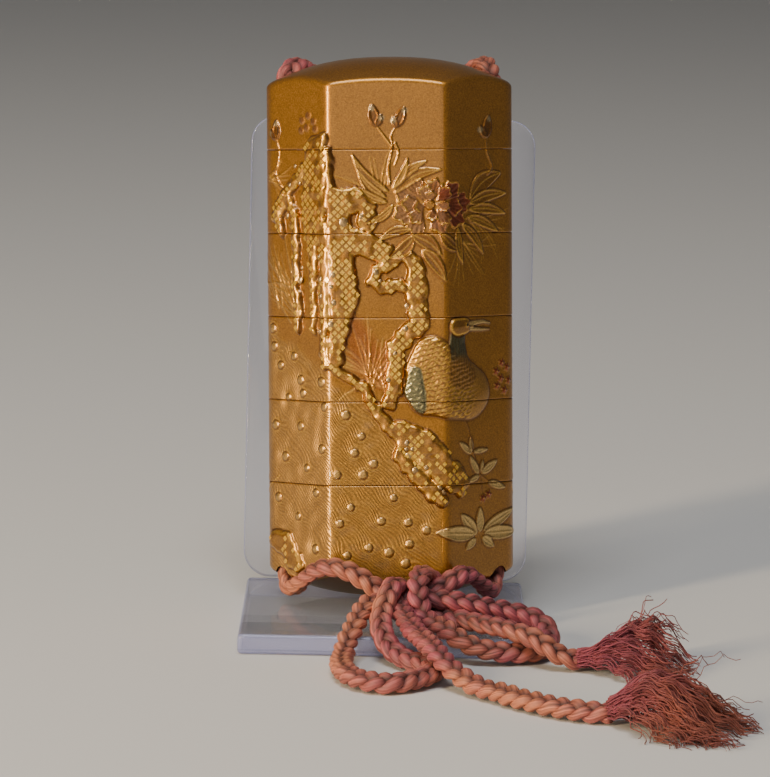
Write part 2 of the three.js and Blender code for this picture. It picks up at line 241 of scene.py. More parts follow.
def plaited_cord(name, route, seed):
    """A flat plait of three strands along a route, and the route's even points."""
    rng = np.random.default_rng(seed)
    line, walked = smooth_line(route, plait_spacing)
    line = eased_line(line, knot_easing)
    depth, across = side_frames(line, to_viewer)
    start = rng.uniform(0, 2 * math.pi)
    tubes = []
    for strand in range(3):
        phase = start + 2 * math.pi * (walked / plait_period + strand / 3)
        sway = plait_sway * (1 + 0.07 * np.sin(walked / 5.1 + strand + seed))
        path = (line + across * (sway * np.sin(phase))[:, None]
                + depth * (plait_depth * np.sin(2 * phase))[:, None])
        heading = unit(np.gradient(path, axis=0))
        up = unit(depth - heading * np.sum(depth * heading, 1, keepdims=True))
        girth = strand_radius * (1 + 0.05 * np.sin(walked / 3.3 + 2.1 * strand)
                                 + 0.03 * rng.standard_normal(len(line)).cumsum() / 12)
        rings = ring_of(path, np.cross(heading, up), up, strand_wide * girth, strand_deep * girth,
                        strand_sides)
        # Painted shade: points of a strand that lie near the cord's middle, under and between the other
        # strands, are darkened.
        gap = np.linalg.norm(rings - line[:, None], axis=2)
        clear = np.clip((gap - crevice_reach) / crevice_fade, 0, 1)
        tubes.append((rings, 1 - clear, walked / plait_period + strand / 3))
    return tube_mesh(name, tubes), line


def srgb(code):
    """A hex colour's red, green and blue, from 0 to 1."""
    return np.array([int(code[i:i + 2], 16) / 255 for i in (1, 3, 5)])


def to_linear(colour):
    """sRGB values as linear ones."""
    return np.where(colour <= 0.04045, colour / 12.92, ((colour + 0.055) / 1.055) ** 2.4)


def hex_colour(code):
    """An sRGB hex colour as linear RGBA."""
    return [*to_linear(srgb(code)).tolist(), 1.0]


def add_node(material, kind, inputs=None, **settings):
    """Adds a node with its settings, and gives each input its value or its link."""
    made = material.node_tree.nodes.new(kind)
    for name, value in settings.items():
        setattr(made, name, value)
    for name, value in (inputs or {}).items():
        if isinstance(value, bpy.types.NodeSocket):
            material.node_tree.links.new(value, made.inputs[name])
        else:
            made.inputs[name].default_value = value
    return made


def new_material(name):
    """A new material, and its shader."""
    material = bpy.data.materials.new(name)
    material.use_nodes = True
    return material, material.node_tree.nodes["Principled BSDF"]


def feed(material, shader, **sockets):
    """Joins outputs to the shader's inputs, named with underscores for spaces."""
    for name, socket in sockets.items():
        material.node_tree.links.new(socket, shader.inputs[name.replace("_", " ")])


# Silk floss, dyed and loosely laid: soft strands of fine parallel fibres with a quiet sheen. The dye is a
# pinkish terracotta, rosier in places. Painted shade darkens the strands where they press together near the
# cord's middle. Real fibres are far too fine to show, so they are drawn as bundles about half a millimetre
# wide.
braided_silk, silk = new_material("faded_braided_silk")
silk.inputs["Roughness"].default_value = 0.62
silk.inputs["Sheen Weight"].default_value = 0.15
silk.inputs["Sheen Roughness"].default_value = 0.4
silk.inputs["Sheen Tint"].default_value = hex_colour("#f3c0ae")
where = add_node(braided_silk, "ShaderNodeTexCoord")
strand_map = add_node(braided_silk, "ShaderNodeUVMap", uv_map="strand")
dye = add_node(braided_silk, "ShaderNodeTexNoise",
               {"Vector": where.outputs["Object"], "Scale": 62.0, "Detail": 2.0, "Roughness": 0.55})
dye_span = add_node(braided_silk, "ShaderNodeMapRange",
                    {"Value": dye.outputs["Fac"], "From Min": 0.38, "From Max": 0.62})
patches = add_node(braided_silk, "ShaderNodeMix", {0: dye_span.outputs["Result"],
                   6: hex_colour("#b56d51"), 7: hex_colour("#974650")}, data_type="RGBA")
stretched = add_node(braided_silk, "ShaderNodeMapping", {"Vector": strand_map.outputs["UV"],
                     "Rotation": (0, 0, 0.12), "Scale": (13.0, 1.1, 1.0)})
fibres = add_node(braided_silk, "ShaderNodeTexNoise",
                  {"Vector": stretched.outputs["Vector"], "Scale": 1.0, "Detail": 3.0, "Roughness": 0.65})
fibre_span = add_node(braided_silk, "ShaderNodeMapRange", {"Value": fibres.outputs["Fac"],
                      "From Min": 0.3, "From Max": 0.7, "To Min": 0.22, "To Max": 1.5})
fibred = add_node(braided_silk, "ShaderNodeVectorMath",
                  {0: patches.outputs["Result"], 3: fibre_span.outputs["Result"]}, operation="SCALE")
# Painted shade in the crevices: this attribute mixes the dyed colour towards a deep brown.
painted_crevice_shade = add_node(braided_silk, "ShaderNodeAttribute", attribute_name="painted_crevice_shade")
crevice_shaded_colour = add_node(braided_silk, "ShaderNodeMix", {0: painted_crevice_shade.outputs["Fac"], 6: fibred.outputs["Vector"],
                7: hex_colour("#36120f")}, data_type="RGBA")
lines = add_node(braided_silk, "ShaderNodeBump", {"Height": fibres.outputs["Fac"], "Strength": 0.7,
                 "Distance": 0.22 * MM})
feed(braided_silk, silk, Base_Color=crevice_shaded_colour.outputs["Result"], Normal=lines.outputs["Normal"])

cord_lines = {}
for cord_name, route, seed in (
        ("cord_over_lid", in_inro(over_lid_route), 3),
        ("cord_left_end", np.vstack([in_inro(mouth_route), on_foot(left_end_route)]), 5),
        ("cord_right_end", np.vstack([in_inro(right_mouth_route), on_foot(right_end_route)]), 8)):
    cord, line = plaited_cord(cord_name + "_braid", route, seed)
    cord.data.materials.append(braided_silk)
    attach(cord, "root")
    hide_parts(cord_name)
    cord_lines[cord_name] = (cord, line)

# ==== The frayed ends ====
# Both ends of the cord end in a tassel: the plait is undone and its floss is loose, still crimped from
# the plaiting. The locks spread over the table, thin out, and lift at their tips.
thread_steps, thread_sides = 26, 4
crimp_wide, crimp_high = 0.72, 0.46                 # how far the plait's crimp throws a thread, mm
on_table = 0.16                                     # the lowest that a thread's middle can lie, mm


def frayed_tassel(name, root, heading, locks, shade_lessened, seed):
    """Loose crimped threads that leave a root, in locks, with their painted shade lessened by a share.

    A lock is its turn from the heading in degrees, its reach and the height of its arch in mm, where along
    it the arch is highest, and its number of threads.
    """
    rng = np.random.default_rng(seed)
    root = on_foot([root])[0]
    share = np.linspace(0, 1, thread_steps)
    tubes = []
    for turn, reach, arch, peak, threads in locks:
        way = heading + math.radians(turn)
        onward = np.array([math.cos(way), math.sin(way), 0])
        aside = np.array([-math.sin(way), math.cos(way), 0])
        crimp_phase, crimp_length = rng.uniform(0, 6.28), rng.uniform(3.4, 5.0)
        bend = rng.uniform(-0.16, 0.16)
        for _ in range(threads):
            own = reach * rng.uniform(0.72, 1.06)
            walk = share * own
            loose = share ** 1.3
            phase = 2 * math.pi * walk / crimp_length + crimp_phase + rng.normal(0, 0.28)
            crimp = 0.35 + 0.65 * loose
            drift = rng.normal(0, 0.07) + bend
            fan = rng.normal(0, 0.5)
            side = rng.uniform(-1.15, 1.15) * (1 - share) + fan * loose + drift * walk * share
            lift = rng.uniform(0.2, 2.6) * (1 - share) + rng.normal(0, 0.5) * loose
            hump = arch * np.exp(-((share - peak) / 0.34) ** 2) * rng.uniform(0.75, 1.1)
            line = (root + onward * walk[:, None]
                    + aside * (side + crimp_wide * crimp * np.sin(phase))[:, None])
            line[:, 2] = np.maximum(on_table, 0.35 + lift + hump + crimp_high * crimp * np.sin(phase + 1.7))
            depth, across = side_frames(line, np.array([0.1, 0.2, 0.97]))
            thick = rng.uniform(0.085, 0.15) * (1 - 0.45 * share)
            rings = ring_of(line, across, depth, thick, thick, thread_sides)
            # Painted shade on each thread: a random share, larger towards the root, and more the nearer the
            # thread lies to the table.
            shaded = rng.uniform(0.0, 0.4) * (1 - 0.6 * share) + 0.5 * np.exp(-line[:, 2] / 1.6)
            dark = np.repeat(np.clip(shaded * (1 - shade_lessened), 0, 0.9)[:, None], thread_sides, 1)
            tubes.append((rings, dark, walk / 6))
    return tube_mesh(name, tubes)


# The same silk, unplaited: rosier at the root, where the plait kept the light off, and browner outwards.
# Its patterns come with the copy, and only its dye is laid anew.
loose_silk = braided_silk.copy()
loose_silk.name = "loosened_silk_floss"
floss = loose_silk.node_tree.nodes
from_root = add_node(loose_silk, "ShaderNodeSeparateXYZ", {"Vector": floss[strand_map.name].outputs["UV"]})
rosy = add_node(loose_silk, "ShaderNodeMapRange", {"Value": from_root.outputs["Y"], "From Min": 0.4,
                "From Max": 2.2, "To Min": 0.8, "To Max": 0.1})
patchy = add_node(loose_silk, "ShaderNodeMath", {0: floss[dye_span.name].outputs["Result"], 1: 0.45,
                  2: rosy.outputs["Result"]}, operation="MULTIPLY_ADD")
patchy.use_clamp = True
loose_silk.node_tree.links.new(patchy.outputs["Value"], floss[patches.name].inputs[0])
floss[patches.name].inputs[6].default_value = hex_colour("#a65a41")
floss[patches.name].inputs[7].default_value = hex_colour("#9c4458")

front_locks = [
    (-52, 17, 2.2, 0.45, 22), (-44, 19, 3.0, 0.42, 26), (-36, 21, 4.2, 0.40, 30), (-28, 21, 5.2, 0.40, 32),
    (-20, 22, 6.0, 0.40, 34), (-12, 22, 6.4, 0.42, 34), (-5, 22, 6.6, 0.42, 34), (3, 22, 6.2, 0.45, 34),
    (11, 21, 6.0, 0.50, 30), (20, 20, 5.6, 0.55, 24), (29, 18, 4.6, 0.6, 18), (40, 15, 3.2, 0.5, 12),
    (33, 23, 9.5, 0.9, 3), (16, 25, 3.5, 0.8, 4), (-30, 25, 1.5, 0.7, 4)]
rear_locks = [
    (-38, 15, 1.6, 0.45, 22), (-28, 17, 2.4, 0.45, 28), (-19, 18, 3.2, 0.45, 32), (-10, 18.5, 4.2, 0.45, 34),
    (-2, 18.5, 5.0, 0.5, 34), (7, 18.5, 6.0, 0.6, 34), (16, 18, 7.0, 0.75, 32), (25, 17, 7.2, 0.85, 26),
    (34, 15, 6.4, 0.9, 16), (44, 12, 4.4, 0.7, 8), (30, 19, 9.5, 1.0, 3), (-30, 20, 1.2, 0.8, 3)]
tassels = {}
for tassel_name, root, heading, locks, shade_lessened, seed in (
        ("tassel_front", (34.4, -80.8, 0), -0.15, front_locks, 0.0, 21),
        ("tassel_rear", (31.0, -47.2, 0), 0.0, rear_locks, 0.55, 22)):
    tassel = frayed_tassel(tassel_name + "_threads", root, heading, locks, shade_lessened, seed)
    tassel.data.materials.append(loose_silk)
    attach(tassel, "root")
    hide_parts(tassel_name)
    tassels[tassel_name] = tassel

for cord_name, mouth, length, far_end, on_it in (
        ("cord_over_lid", (-17.3, 0, 8.0), 0.206, "object", []),
        ("cord_left_end", (-17.3, 0, 4.4), 0.182, "bare", [tassels["tassel_front"]]),
        ("cord_right_end", (17.3, 0, 4.4), 0.155, "bare", [tassels["tassel_rear"]])):
    cord, line = cord_lines[cord_name]

# ==== The stand ====
# Two plates of clear cast acrylic with polished edges: a base plate on the table, and a back plate with
# rounded corners that stands on it and leans back. They are cut from sheet, and their edges are eased.
base_width, base_depth, base_corner = 47, 43.5, 0.8
back_width, back_height, back_thickness, back_corner = 48.2, 78.6, 2.6, 4.5
back_foot = 3.7                                     # how high the back plate's lower edge stands
edge_ease = 0.28


def acrylic_plate(name, width, height, thickness, corner):
    """A plate in the XZ plane, its front face at y = 0 and its lower edge at z = 0. Sizes are in mm."""
    bpy.ops.object.select_all(action="DESELECT")
    bpy.ops.mesh.primitive_cube_add(size=1, location=(0, thickness * MM / 2, height * MM / 2))
    piece = bpy.context.object
    piece.name = piece.data.name = name
    piece.scale = (width * MM, thickness * MM, height * MM)
    bpy.ops.object.transform_apply(location=True, rotation=True, scale=True)
    for edge in piece.data.edges:
        one, two = (piece.data.vertices[i].co for i in edge.vertices)
        edge.select = abs(one.y - two.y) > thickness * MM / 2
    for part in (*piece.data.polygons, *piece.data.vertices):
        part.select = False
    bpy.ops.object.mode_set(mode="EDIT")
    bpy.ops.mesh.select_mode(type="EDGE")
    bpy.ops.mesh.bevel(offset=corner * MM, segments=10, affect="EDGES")
    bpy.ops.object.mode_set(mode="OBJECT")
    eased = piece.modifiers.new("eased_edges", "BEVEL")
    eased.width, eased.segments, eased.angle_limit = edge_ease * MM, 3, math.radians(50)
    bpy.ops.object.modifier_apply(modifier="eased_edges")
    bpy.ops.object.shade_smooth_by_angle(angle=math.radians(35))
    return piece


def settle(piece, place):
    """Moves a piece's own mesh, so that its object stays at the origin. Lengths of place are in mm."""
    place = place.copy()
    place.translation = place.translation * MM
    piece.data.transform(place)


# Cast acrylic sheet: as clear as glass, a little less glossy, with a cool violet cast through its edges.
clear_acrylic, acrylic = new_material("clear_cast_acrylic")
acrylic.inputs["Base Color"].default_value = hex_colour("#e6e9fb")
acrylic.inputs["Roughness"].default_value = 0.03
acrylic.inputs["IOR"].default_value = 1.49
acrylic.inputs["Transmission Weight"].default_value = 1.0
acrylic.inputs["Alpha"].default_value = 0.62
scuffs = add_node(clear_acrylic, "ShaderNodeTexNoise", {"Vector": add_node(
    clear_acrylic, "ShaderNodeTexCoord").outputs["Object"], "Scale": 90.0, "Detail": 5.0, "Roughness": 0.7})
scuffed = add_node(clear_acrylic, "ShaderNodeMapRange", {"Value": scuffs.outputs["Fac"], "From Min": 0.45,
                   "From Max": 0.8, "To Min": 0.01, "To Max": 0.06})
feed(clear_acrylic, acrylic, Roughness=scuffed.outputs["Result"])

# The same sheet seen through its polished edge, where the long way through the plastic shows its tint.
acrylic_edge, edge_shader = new_material("polished_acrylic_edge")
edge_shader.inputs["Base Color"].default_value = hex_colour("#b3b9f2")
edge_shader.inputs["IOR"].default_value = 1.49
edge_shader.inputs["Transmission Weight"].default_value = 0.7
edge_shader.inputs["Alpha"].default_value = 0.8
sawn = add_node(acrylic_edge, "ShaderNodeTexNoise", {"Vector": add_node(
    acrylic_edge, "ShaderNodeTexCoord").outputs["Object"], "Scale": 160.0, "Detail": 4.0, "Roughness": 0.7})
polished = add_node(acrylic_edge, "ShaderNodeMapRange", {"Value": sawn.outputs["Fac"], "From Min": 0.3,
                    "From Max": 0.8, "To Min": 0.06, "To Max": 0.30})
feed(acrylic_edge, edge_shader, Roughness=polished.outputs["Result"])

base_plate = acrylic_plate("acrylic_base_plate", base_width, base_depth, base_top, base_corner)
settle(base_plate, Matrix.Translation((0, foot_y - front_to_foot, base_top))
       @ Matrix.Rotation(-math.pi / 2, 4, "X"))
back_plate = acrylic_plate("acrylic_back_plate", back_width, back_height, back_thickness, back_corner)
settle(back_plate, Matrix.Translation((0, foot_y, back_foot + back_thickness * math.sin(lean)))
       @ Matrix.Rotation(-lean, 4, "X"))
for plate, node in ((base_plate, "stand_base"), (back_plate, "stand_back")):
    plate.data.materials.append(clear_acrylic)
    plate.data.materials.append(acrylic_edge)
    broad = max(plate.data.polygons, key=lambda face: face.area).normal.copy()
    for face in plate.data.polygons:
        face.material_index = int(abs(face.normal.dot(broad)) < 0.9)
    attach(plate, "root")
    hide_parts(node)

# ==== The picture on the inro ====
# Raised gold lacquer: the picture is modelled in lacquer and charcoal powder over the finished gold
# ground, sprinkled with gold, silver and copper dust, and polished. It runs across all the cases: a
# rock with squares of gold leaf, a peony, a water bird, grasses, and combed water with round stones.
# It is drawn here on the unrolled wall: u is measured round from the middle of the front, z from the foot.
GRAIN = 0.1                                         # mm between the drawing's points
half_round = 50.4                                   # half of the way round the wall
u_line = np.arange(-half_round, half_round + GRAIN / 2, GRAIN)
z_line = np.arange(0, 90.2, GRAIN)
rise = np.zeros((len(z_line), len(u_line)))         # height above the ground, mm
tone = np.zeros((len(z_line), len(u_line), 3))      # dust colour, sRGB
comb_place = np.zeros_like(rise)                    # the combed lines run where this is constant
combed = np.zeros_like(rise)                        # 1 where the lacquer is combed
gloss = np.zeros_like(rise)                         # 1 where the picture is polished brighter

ground_gold, bright_gold, pale_gold = srgb("#a26f28"), srgb("#d9a440"), srgb("#c8a564")
# Brown dust draws outlines and stripes. It is also laid as painted shade round the foot of the rock and of
# the bird's body, and towards the petals' roots.
deep_gold, brown_dust_and_shade, red_dust = srgb("#7c501d"), srgb("#583413"), srgb("#87371f")
copper_dust, silver_dust, green_silver = srgb("#84552f"), srgb("#a38c66"), srgb("#6e6a48")
tone[:] = ground_gold


def part_of_wall(low_u, high_u, low_z, high_z):
    """The drawing's points inside a box: how to index them, and their u and z."""
    rows = slice(*np.searchsorted(z_line, (low_z, high_z)))
    columns = slice(*np.searchsorted(u_line, (low_u, high_u)))
    u, z = np.meshgrid(u_line[columns], z_line[rows])
    return (rows, columns), u, z


def soft_edge(inside, width=0.16):
    """0 outside a shape and 1 inside it, from the distance inside its edge."""
    share = np.clip(inside / width + 0.5, 0, 1)
    return share * share * (3 - 2 * share)


def lay(where, cover, height=None, colour=None, shine=None, add=0.0):
    """Lays a shape over what is there: its cover is 0 to 1, its height is in mm."""
    if height is not None:
        rise[where] = rise[where] * (1 - cover) + height * cover
    rise[where] += add * cover
    if colour is not None:
        tone[where] = tone[where] * (1 - cover[..., None]) + colour * cover[..., None]
    if shine is not None:
        gloss[where] = gloss[where] * (1 - cover) + shine * cover


def inside_run(points, u, z):
    """How far inside a run of joined rounds (u, z, radius) each point lies."""
    points = np.array(points, float)
    best = np.full(u.shape, -99.0)
    if len(points) == 1:
        points = np.vstack([points, points])
    for (u0, z0, r0), (u1, z1, r1) in zip(points, points[1:]):
        du, dz = u1 - u0, z1 - z0
        t = np.clip(((u - u0) * du + (z - z0) * dz) / max(du * du + dz * dz, 1e-9), 0, 1)
        best = np.maximum(best, r0 + (r1 - r0) * t - np.hypot(u - u0 - du * t, z - z0 - dz * t))
    return best


def box_of(points, margin):
    """The bounds of some points with a margin round them: low and high u, low and high z."""
    points = np.array(points, float)
    return (points[:, 0].min() - margin, points[:, 0].max() + margin,
            points[:, 1].min() - margin, points[:, 1].max() + margin)


def line_stroke(points, width, height, colour=None, shine=None):
    """A raised brush line, as wide as width in its middle and finer at its far end."""
    points = np.array(points, float)
    share = np.linspace(0, 1, len(points))
    runs = np.column_stack([points, width / 2 * (1 - 0.6 * share)])
    where, u, z = part_of_wall(*box_of(points, 1))
    inside = inside_run(runs, u, z)
    lay(where, soft_edge(inside), colour=colour, shine=shine,
        add=height * np.sqrt(np.clip(inside / (width / 2), 0, 1)))


def curve(points):
    """A smooth brush path through a few points."""
    path, _ = smooth_line([(u, z, 0) for u, z in points], 0.5)
    return path[:, :2]


vein_pitch, rim_half, midrib_half = 0.62, 0.13, 0.10


def leaf(base, tip, width, height=0.20, bow=0.0, colour=None, veined=True, edge_gold=True, shine=0.3):
    """A pointed leaf with a midrib, side veins and a fine raised rim. With no colour it is deep gold."""
    base, tip = np.array(base, float), np.array(tip, float)
    length = np.linalg.norm(tip - base)
    way = (tip - base) / length
    where, u, z = part_of_wall(*box_of([base, tip], width + abs(bow) + 0.5))
    along = ((u - base[0]) * way[0] + (z - base[1]) * way[1]) / length
    across = (u - base[0]) * -way[1] + (z - base[1]) * way[0] - bow * np.sin(np.pi * np.clip(along, 0, 1))
    half = width / 2 * np.sin(np.pi * np.clip(along, 0, 1) ** 0.8) ** 0.75
    inside = np.where((along > 0) & (along < 1), half - np.abs(across), -1.0)
    cover = soft_edge(inside)
    lay(where, cover, height=height * (0.55 + 0.45 * np.clip(np.abs(across) / (width / 2), 0, 1)),
        colour=colour, shine=shine)
    rim = soft_edge(rim_half - np.abs(inside - rim_half)) * cover
    if colour is None:
        lay(where, 0.55 * cover, colour=deep_gold)
    midrib = soft_edge(midrib_half - np.abs(across)) * cover
    ribs = np.sin(2 * np.pi * (along * length / vein_pitch + np.abs(across) / 0.5))
    side = np.clip(ribs, 0, 1) ** 2 * cover * veined
    lay(where, np.clip(0.75 * rim + 0.8 * midrib + 0.22 * side, 0, 1),
        colour=bright_gold if edge_gold else None, shine=0.8, add=0.08)
    lay(where, 0.6 * soft_edge(0.12 - np.abs(inside + 0.16)), colour=brown_dust_and_shade, shine=0)


def petal(where, u, z, middle, radius, turn, opening, height, colour, waves):
    """A petal: a fan with a ruffled rim edged in bright gold, fine folds from its root, and painted shade
    that deepens towards that root.
    """
    du, dz = u - middle[0], z - middle[1]
    reach, angle = np.hypot(du, dz), np.arctan2(dz, du) - turn
    angle = (angle + np.pi) % (2 * np.pi) - np.pi
    edge = radius * (1 - 0.25 * (angle / opening) ** 2 + 0.06 * np.cos(waves * 3 * angle))
    inside = np.minimum(edge - reach, (opening - np.abs(angle)) * np.maximum(reach, 0.3))
    cover = soft_edge(inside)
    share = np.clip(reach / radius, 0, 1)
    folds = 0.035 * np.cos(angle * 26) * share
    lay(where, cover, height=height * (0.45 + 0.75 * share ** 2) + folds, colour=colour, shine=0.25)
    # Painted shade: the petal is darker towards its root.
    lay(where, 0.5 * cover * (1 - share) ** 1.5, colour=brown_dust_and_shade)
    rim = soft_edge(0.15 - np.abs(edge - reach - 0.17)) * cover
    lay(where, rim, colour=bright_gold, shine=0.8, add=0.09)


def rough(u, z, size, seed):
    """Smooth bumps of about this size, from -1 to 1."""
    rng = np.random.default_rng(seed)
    total = 0
    for _ in range(7):
        turn, phase = rng.uniform(0, 2 * np.pi), rng.uniform(0, 2 * np.pi)
        scale = 2 * np.pi / size * rng.uniform(0.7, 1.4)
        total = total + np.sin((u * np.cos(turn) + z * np.sin(turn)) * scale + phase)
    return total / 4


# The combed water: fine lines drawn through wet lacquer, swirling round small round stones.
stones = [
    (-22.3, 28.9), (-16.4, 28.9), (-20.0, 23.7), (-15.0, 22.0), (-11.5, 25.3), (-12.9, 18.0), (-21.7, 16.8),
    (-17.1, 13.8), (-13.1, 8.6), (-10.8, 32.3), (-22.5, 42.0), (-21.0, 38.9), (-17.8, 40.5), (-16.3, 36.6),
    (-22.8, 45.0), (-15.8, 34.4), (-11.5, 36.4), (-7.0, 31.0), (-4.4, 27.5), (-5.6, 24.75), (-2.5, 22.9),
    (-4.2, 21.1), (-8.5, 21.1), (-6.25, 15.7), (-8.1, 13.0), (-1.25, 13.4), (-3.3, 9.0), (0.0, 8.2),
    (-6.9, 7.7), (0.8, 17.3), (3.2, 13.2), (3.4, 9.6), (2.75, 6.4), (6.2, 11.9), (-19.2, 33.6)]
where, u, z = part_of_wall(-25.2, 9.0, 4.0, 48.0)
bank = 46.5 - 0.62 * (u + 25) - 0.25 * np.clip(u + 9, 0, 99) - 0.4 * np.clip(u + 2, 0, 99)
water = soft_edge(bank + 1.2 * rough(u, z, 7, 1) - z, 2.4) * soft_edge(8.4 - u, 2)
flow = 0.70 * u + 0.71 * z + 0.55 * rough(u, z, 11, 2) + 0.22 * rough(u, z, 3.6, 3)
for stone_u, stone_z in stones:
    flow += 0.95 * np.exp(-(np.hypot(u - stone_u, z - stone_z) / 1.45) ** 2)
comb_place[where] = flow
combed[where] = water
lay(where, 0.26 * water, colour=pale_gold)
lay(where, 0.16 * water * (0.5 + 0.5 * rough(u, z, 4.4, 5)).clip(0, 1), colour=deep_gold)
rise[where] += water * 0.02 * rough(u, z, 3.1, 6)
rng = np.random.default_rng(4)
for stone_u, stone_z in stones:
    where, u, z = part_of_wall(stone_u - 1.6, stone_u + 1.6, stone_z - 1.6, stone_z + 1.6)
    size = rng.uniform(0.55, 0.72)
    away = np.hypot(u - stone_u, z - stone_z) + 0.05 * rough(u, z, 0.9, int(100 * (stone_u + 40)))
    lay(where, 0.6 * soft_edge(0.1 - np.abs(away - size * 1.55), 0.2), colour=bright_gold, shine=0.3,
        add=0.03)
    lay(where, soft_edge(size - away), height=0.08 + 0.13 * np.sqrt(np.clip(1 - (away / size) ** 2, 0, 1)),
        colour=ground_gold * 0.4 + pale_gold * 0.6, shine=0.1)
    lay(where, 0.6 * soft_edge(0.10 - np.abs(away - size * 1.12), 0.16), colour=brown_dust_and_shade, shine=0)
    combed[where] *= 1 - soft_edge(size * 1.3 - away)

# The grasses: single brush lines of gold, raised a little, fanning from their roots.
def fan(root, turns, reach, seed, width, height, colour, bend=0.25, root_spread=1.0):
    """Lines that leave a root at these turns, in degrees from the right, and curl apart."""
    rng = np.random.default_rng(seed)
    middle = sum(turns) / len(turns)
    for turn in turns:
        angle = math.radians(turn + rng.normal(0, 2))
        length = reach * rng.uniform(0.7, 1.1)
        start = np.array(root) + rng.normal(0, root_spread, 2)
        curl = bend * ((turn - middle) / 30 + rng.normal(0, 0.3))
        points = [start + length * t * np.array([math.cos(angle + curl * t), math.sin(angle + curl * t)])
                  for t in np.linspace(0, 1, 6)]
        line_stroke(points, width, height, colour=colour, shine=0.25)


water_reeds = [
    ((-17.4, 47.6), range(105, 150, 5), 12, 11), ((-18.5, 52), range(110, 165, 7), 8, 12),
    ((-21.5, 49), range(95, 130, 8), 9, 13)]
rock_reeds = [
    ((-2.6, 36.0), range(62, 130, 7), 10.5, 14), ((-3.4, 37.0), range(58, 112, 12), 7.5, 15),
    ((-0.6, 35.6), range(84, 168, 12), 8.5, 16), ((-0.6, 36.6), range(40, 80, 10), 6, 17)]
peony_grasses = [
    ((12.2, 60.2), range(-100, -20, 7), 8, 18), ((-0.6, 66.4), range(95, 165, 6), 8.5, 19),
    ((14.8, 63.5), range(-45, 40, 6), 9, 20), ((-23.2, 70.2), range(-35, 30, 9), 5, 21)]
for grass in water_reeds:
    fan(*grass, 0.34, 0.08, ground_gold * 0.6 + pale_gold * 0.4)
for grass in rock_reeds:
    fan(*grass, 0.30, 0.09, bright_gold, bend=0.5, root_spread=0.35)
for grass in peony_grasses:
    fan(*grass, 0.26, 0.11, ground_gold * 0.4 + bright_gold * 0.6, bend=0.4, root_spread=0.3)

# The grass ground behind the rock's arch, sprinkled with red-brown dust.
where, u, z = part_of_wall(-8, 4, 33, 48)
shaded_run = [(-5.6, 45, 2.0), (-3.2, 40, 2.8), (-0.6, 37.4, 2.4), (0.4, 41, 1.8)]
lay(where, 0.35 * soft_edge(inside_run(shaded_run, u, z), 2.2), colour=red_dust)

# The rock: high raised lacquer, worn into legs and holes, with painted shade round its foot all along its
# edge.
# Each run is a line of joined rounds: u, z and radius.
rock_runs = [
    [(-10.9, 76.4, 1.3), (-12.3, 74.8, 2.3), (-12.3, 71, 2.9), (-12.5, 67, 2.9), (-12.7, 63.5, 2.8),
     (-12.5, 61, 2.4)],
    [(-9.8, 74.5, 0.9), (-9.6, 70, 0.9), (-9.6, 66, 1.5)],
    [(-10, 68, 1.2), (-7.6, 66.4, 2.2), (-4.4, 66.4, 2.1), (-3.4, 65.2, 1.6), (-3.2, 62.6, 1.5)],
    [(-8.2, 64, 2.2), (-7.9, 60.5, 2.5), (-7.6, 56, 2.4), (-7.3, 51, 2.7), (-7.7, 47, 2.0), (-8.5, 43, 1.6),
     (-8.4, 40, 1.3)],
    [(-6, 59.6, 2.5), (-3.6, 59.2, 2.0), (-1.2, 57.9, 1.9), (0.6, 56.8, 1.6), (2.5, 57.2, 1.0),
     (3.8, 56.7, 1.2)],
    [(0.4, 56.2, 1.2), (-1.7, 55.0, 1.0), (-2.3, 53.2, 1.1), (-1.0, 51.9, 1.1), (1, 52.5, 1.1),
     (2.9, 52.0, 0.9)],
    [(3.6, 56.8, 1.2), (4.7, 55.6, 1.5), (4.7, 52, 1.8), (4.9, 48.5, 1.6), (5.2, 46, 1.7), (3.4, 44.3, 1.6),
     (1.5, 42.5, 1.6), (1.2, 38.5, 1.5), (0.9, 35, 1.4), (0.2, 33, 1.2)],
    [(-16.4, 70, 0.9), (-18.4, 68.2, 1.1), (-20.3, 66, 1.4), (-21.4, 63.8, 1.3), (-20.4, 61.4, 1.0)],
    [(-15, 71.6, 1.0), (-16.8, 69.8, 0.9)],
    [(-18.6, 66.6, 1.0), (-17.6, 64.2, 1.1), (-17.2, 61, 0.9), (-16.9, 57, 0.85), (-16.9, 53, 0.85),
     (-16.6, 49, 1.1), (-16.6, 46.5, 0.8), (-16.6, 44.8, 0.6)],
    [(-13.3, 62, 1.5), (-13.0, 57, 1.1), (-13, 52, 0.9), (-13, 47.5, 0.8), (-13.1, 45, 0.6)],
    [(-10.6, 62, 1.4), (-10.4, 56, 1.2), (-10.4, 50, 1.1), (-10.5, 45, 1.0), (-10.9, 41.5, 0.9),
     (-10.4, 39.4, 0.9)],
    [(-9.4, 39.2, 0.8), (-7.6, 37.8, 0.8), (-5.6, 36.8, 0.8), (-3.6, 35, 0.9), (-2.2, 32.2, 0.9),
     (-0.8, 30.2, 1.0), (0.8, 28.6, 1.3)],
    [(1.4, 28.8, 1.5), (3.4, 27.4, 2.4), (5.8, 25.6, 2.8), (7.6, 23.4, 2.7), (9.2, 21.4, 2.5),
     (11.4, 21, 2.1), (12.8, 19.8, 1.6)],
    [(1.8, 24.4, 1.3), (3.4, 22.4, 1.3), (5.4, 20.2, 1.5), (7.6, 17.8, 1.5), (8.8, 17, 1.2)],
    [(10.5, 19.4, 1.4), (12.4, 18.4, 1.1)],
    [(-22.8, 9.6, 1.6), (-20.4, 9.2, 2.1), (-18.4, 6.9, 1.9), (-17.0, 5.6, 1.2)]]
rock_bounds = (-24.6, 15.5, 3.5, 79)
where, u, z = part_of_wall(*rock_bounds)
rock_inside = np.max([inside_run(run, u, z) for run in rock_runs], axis=0)
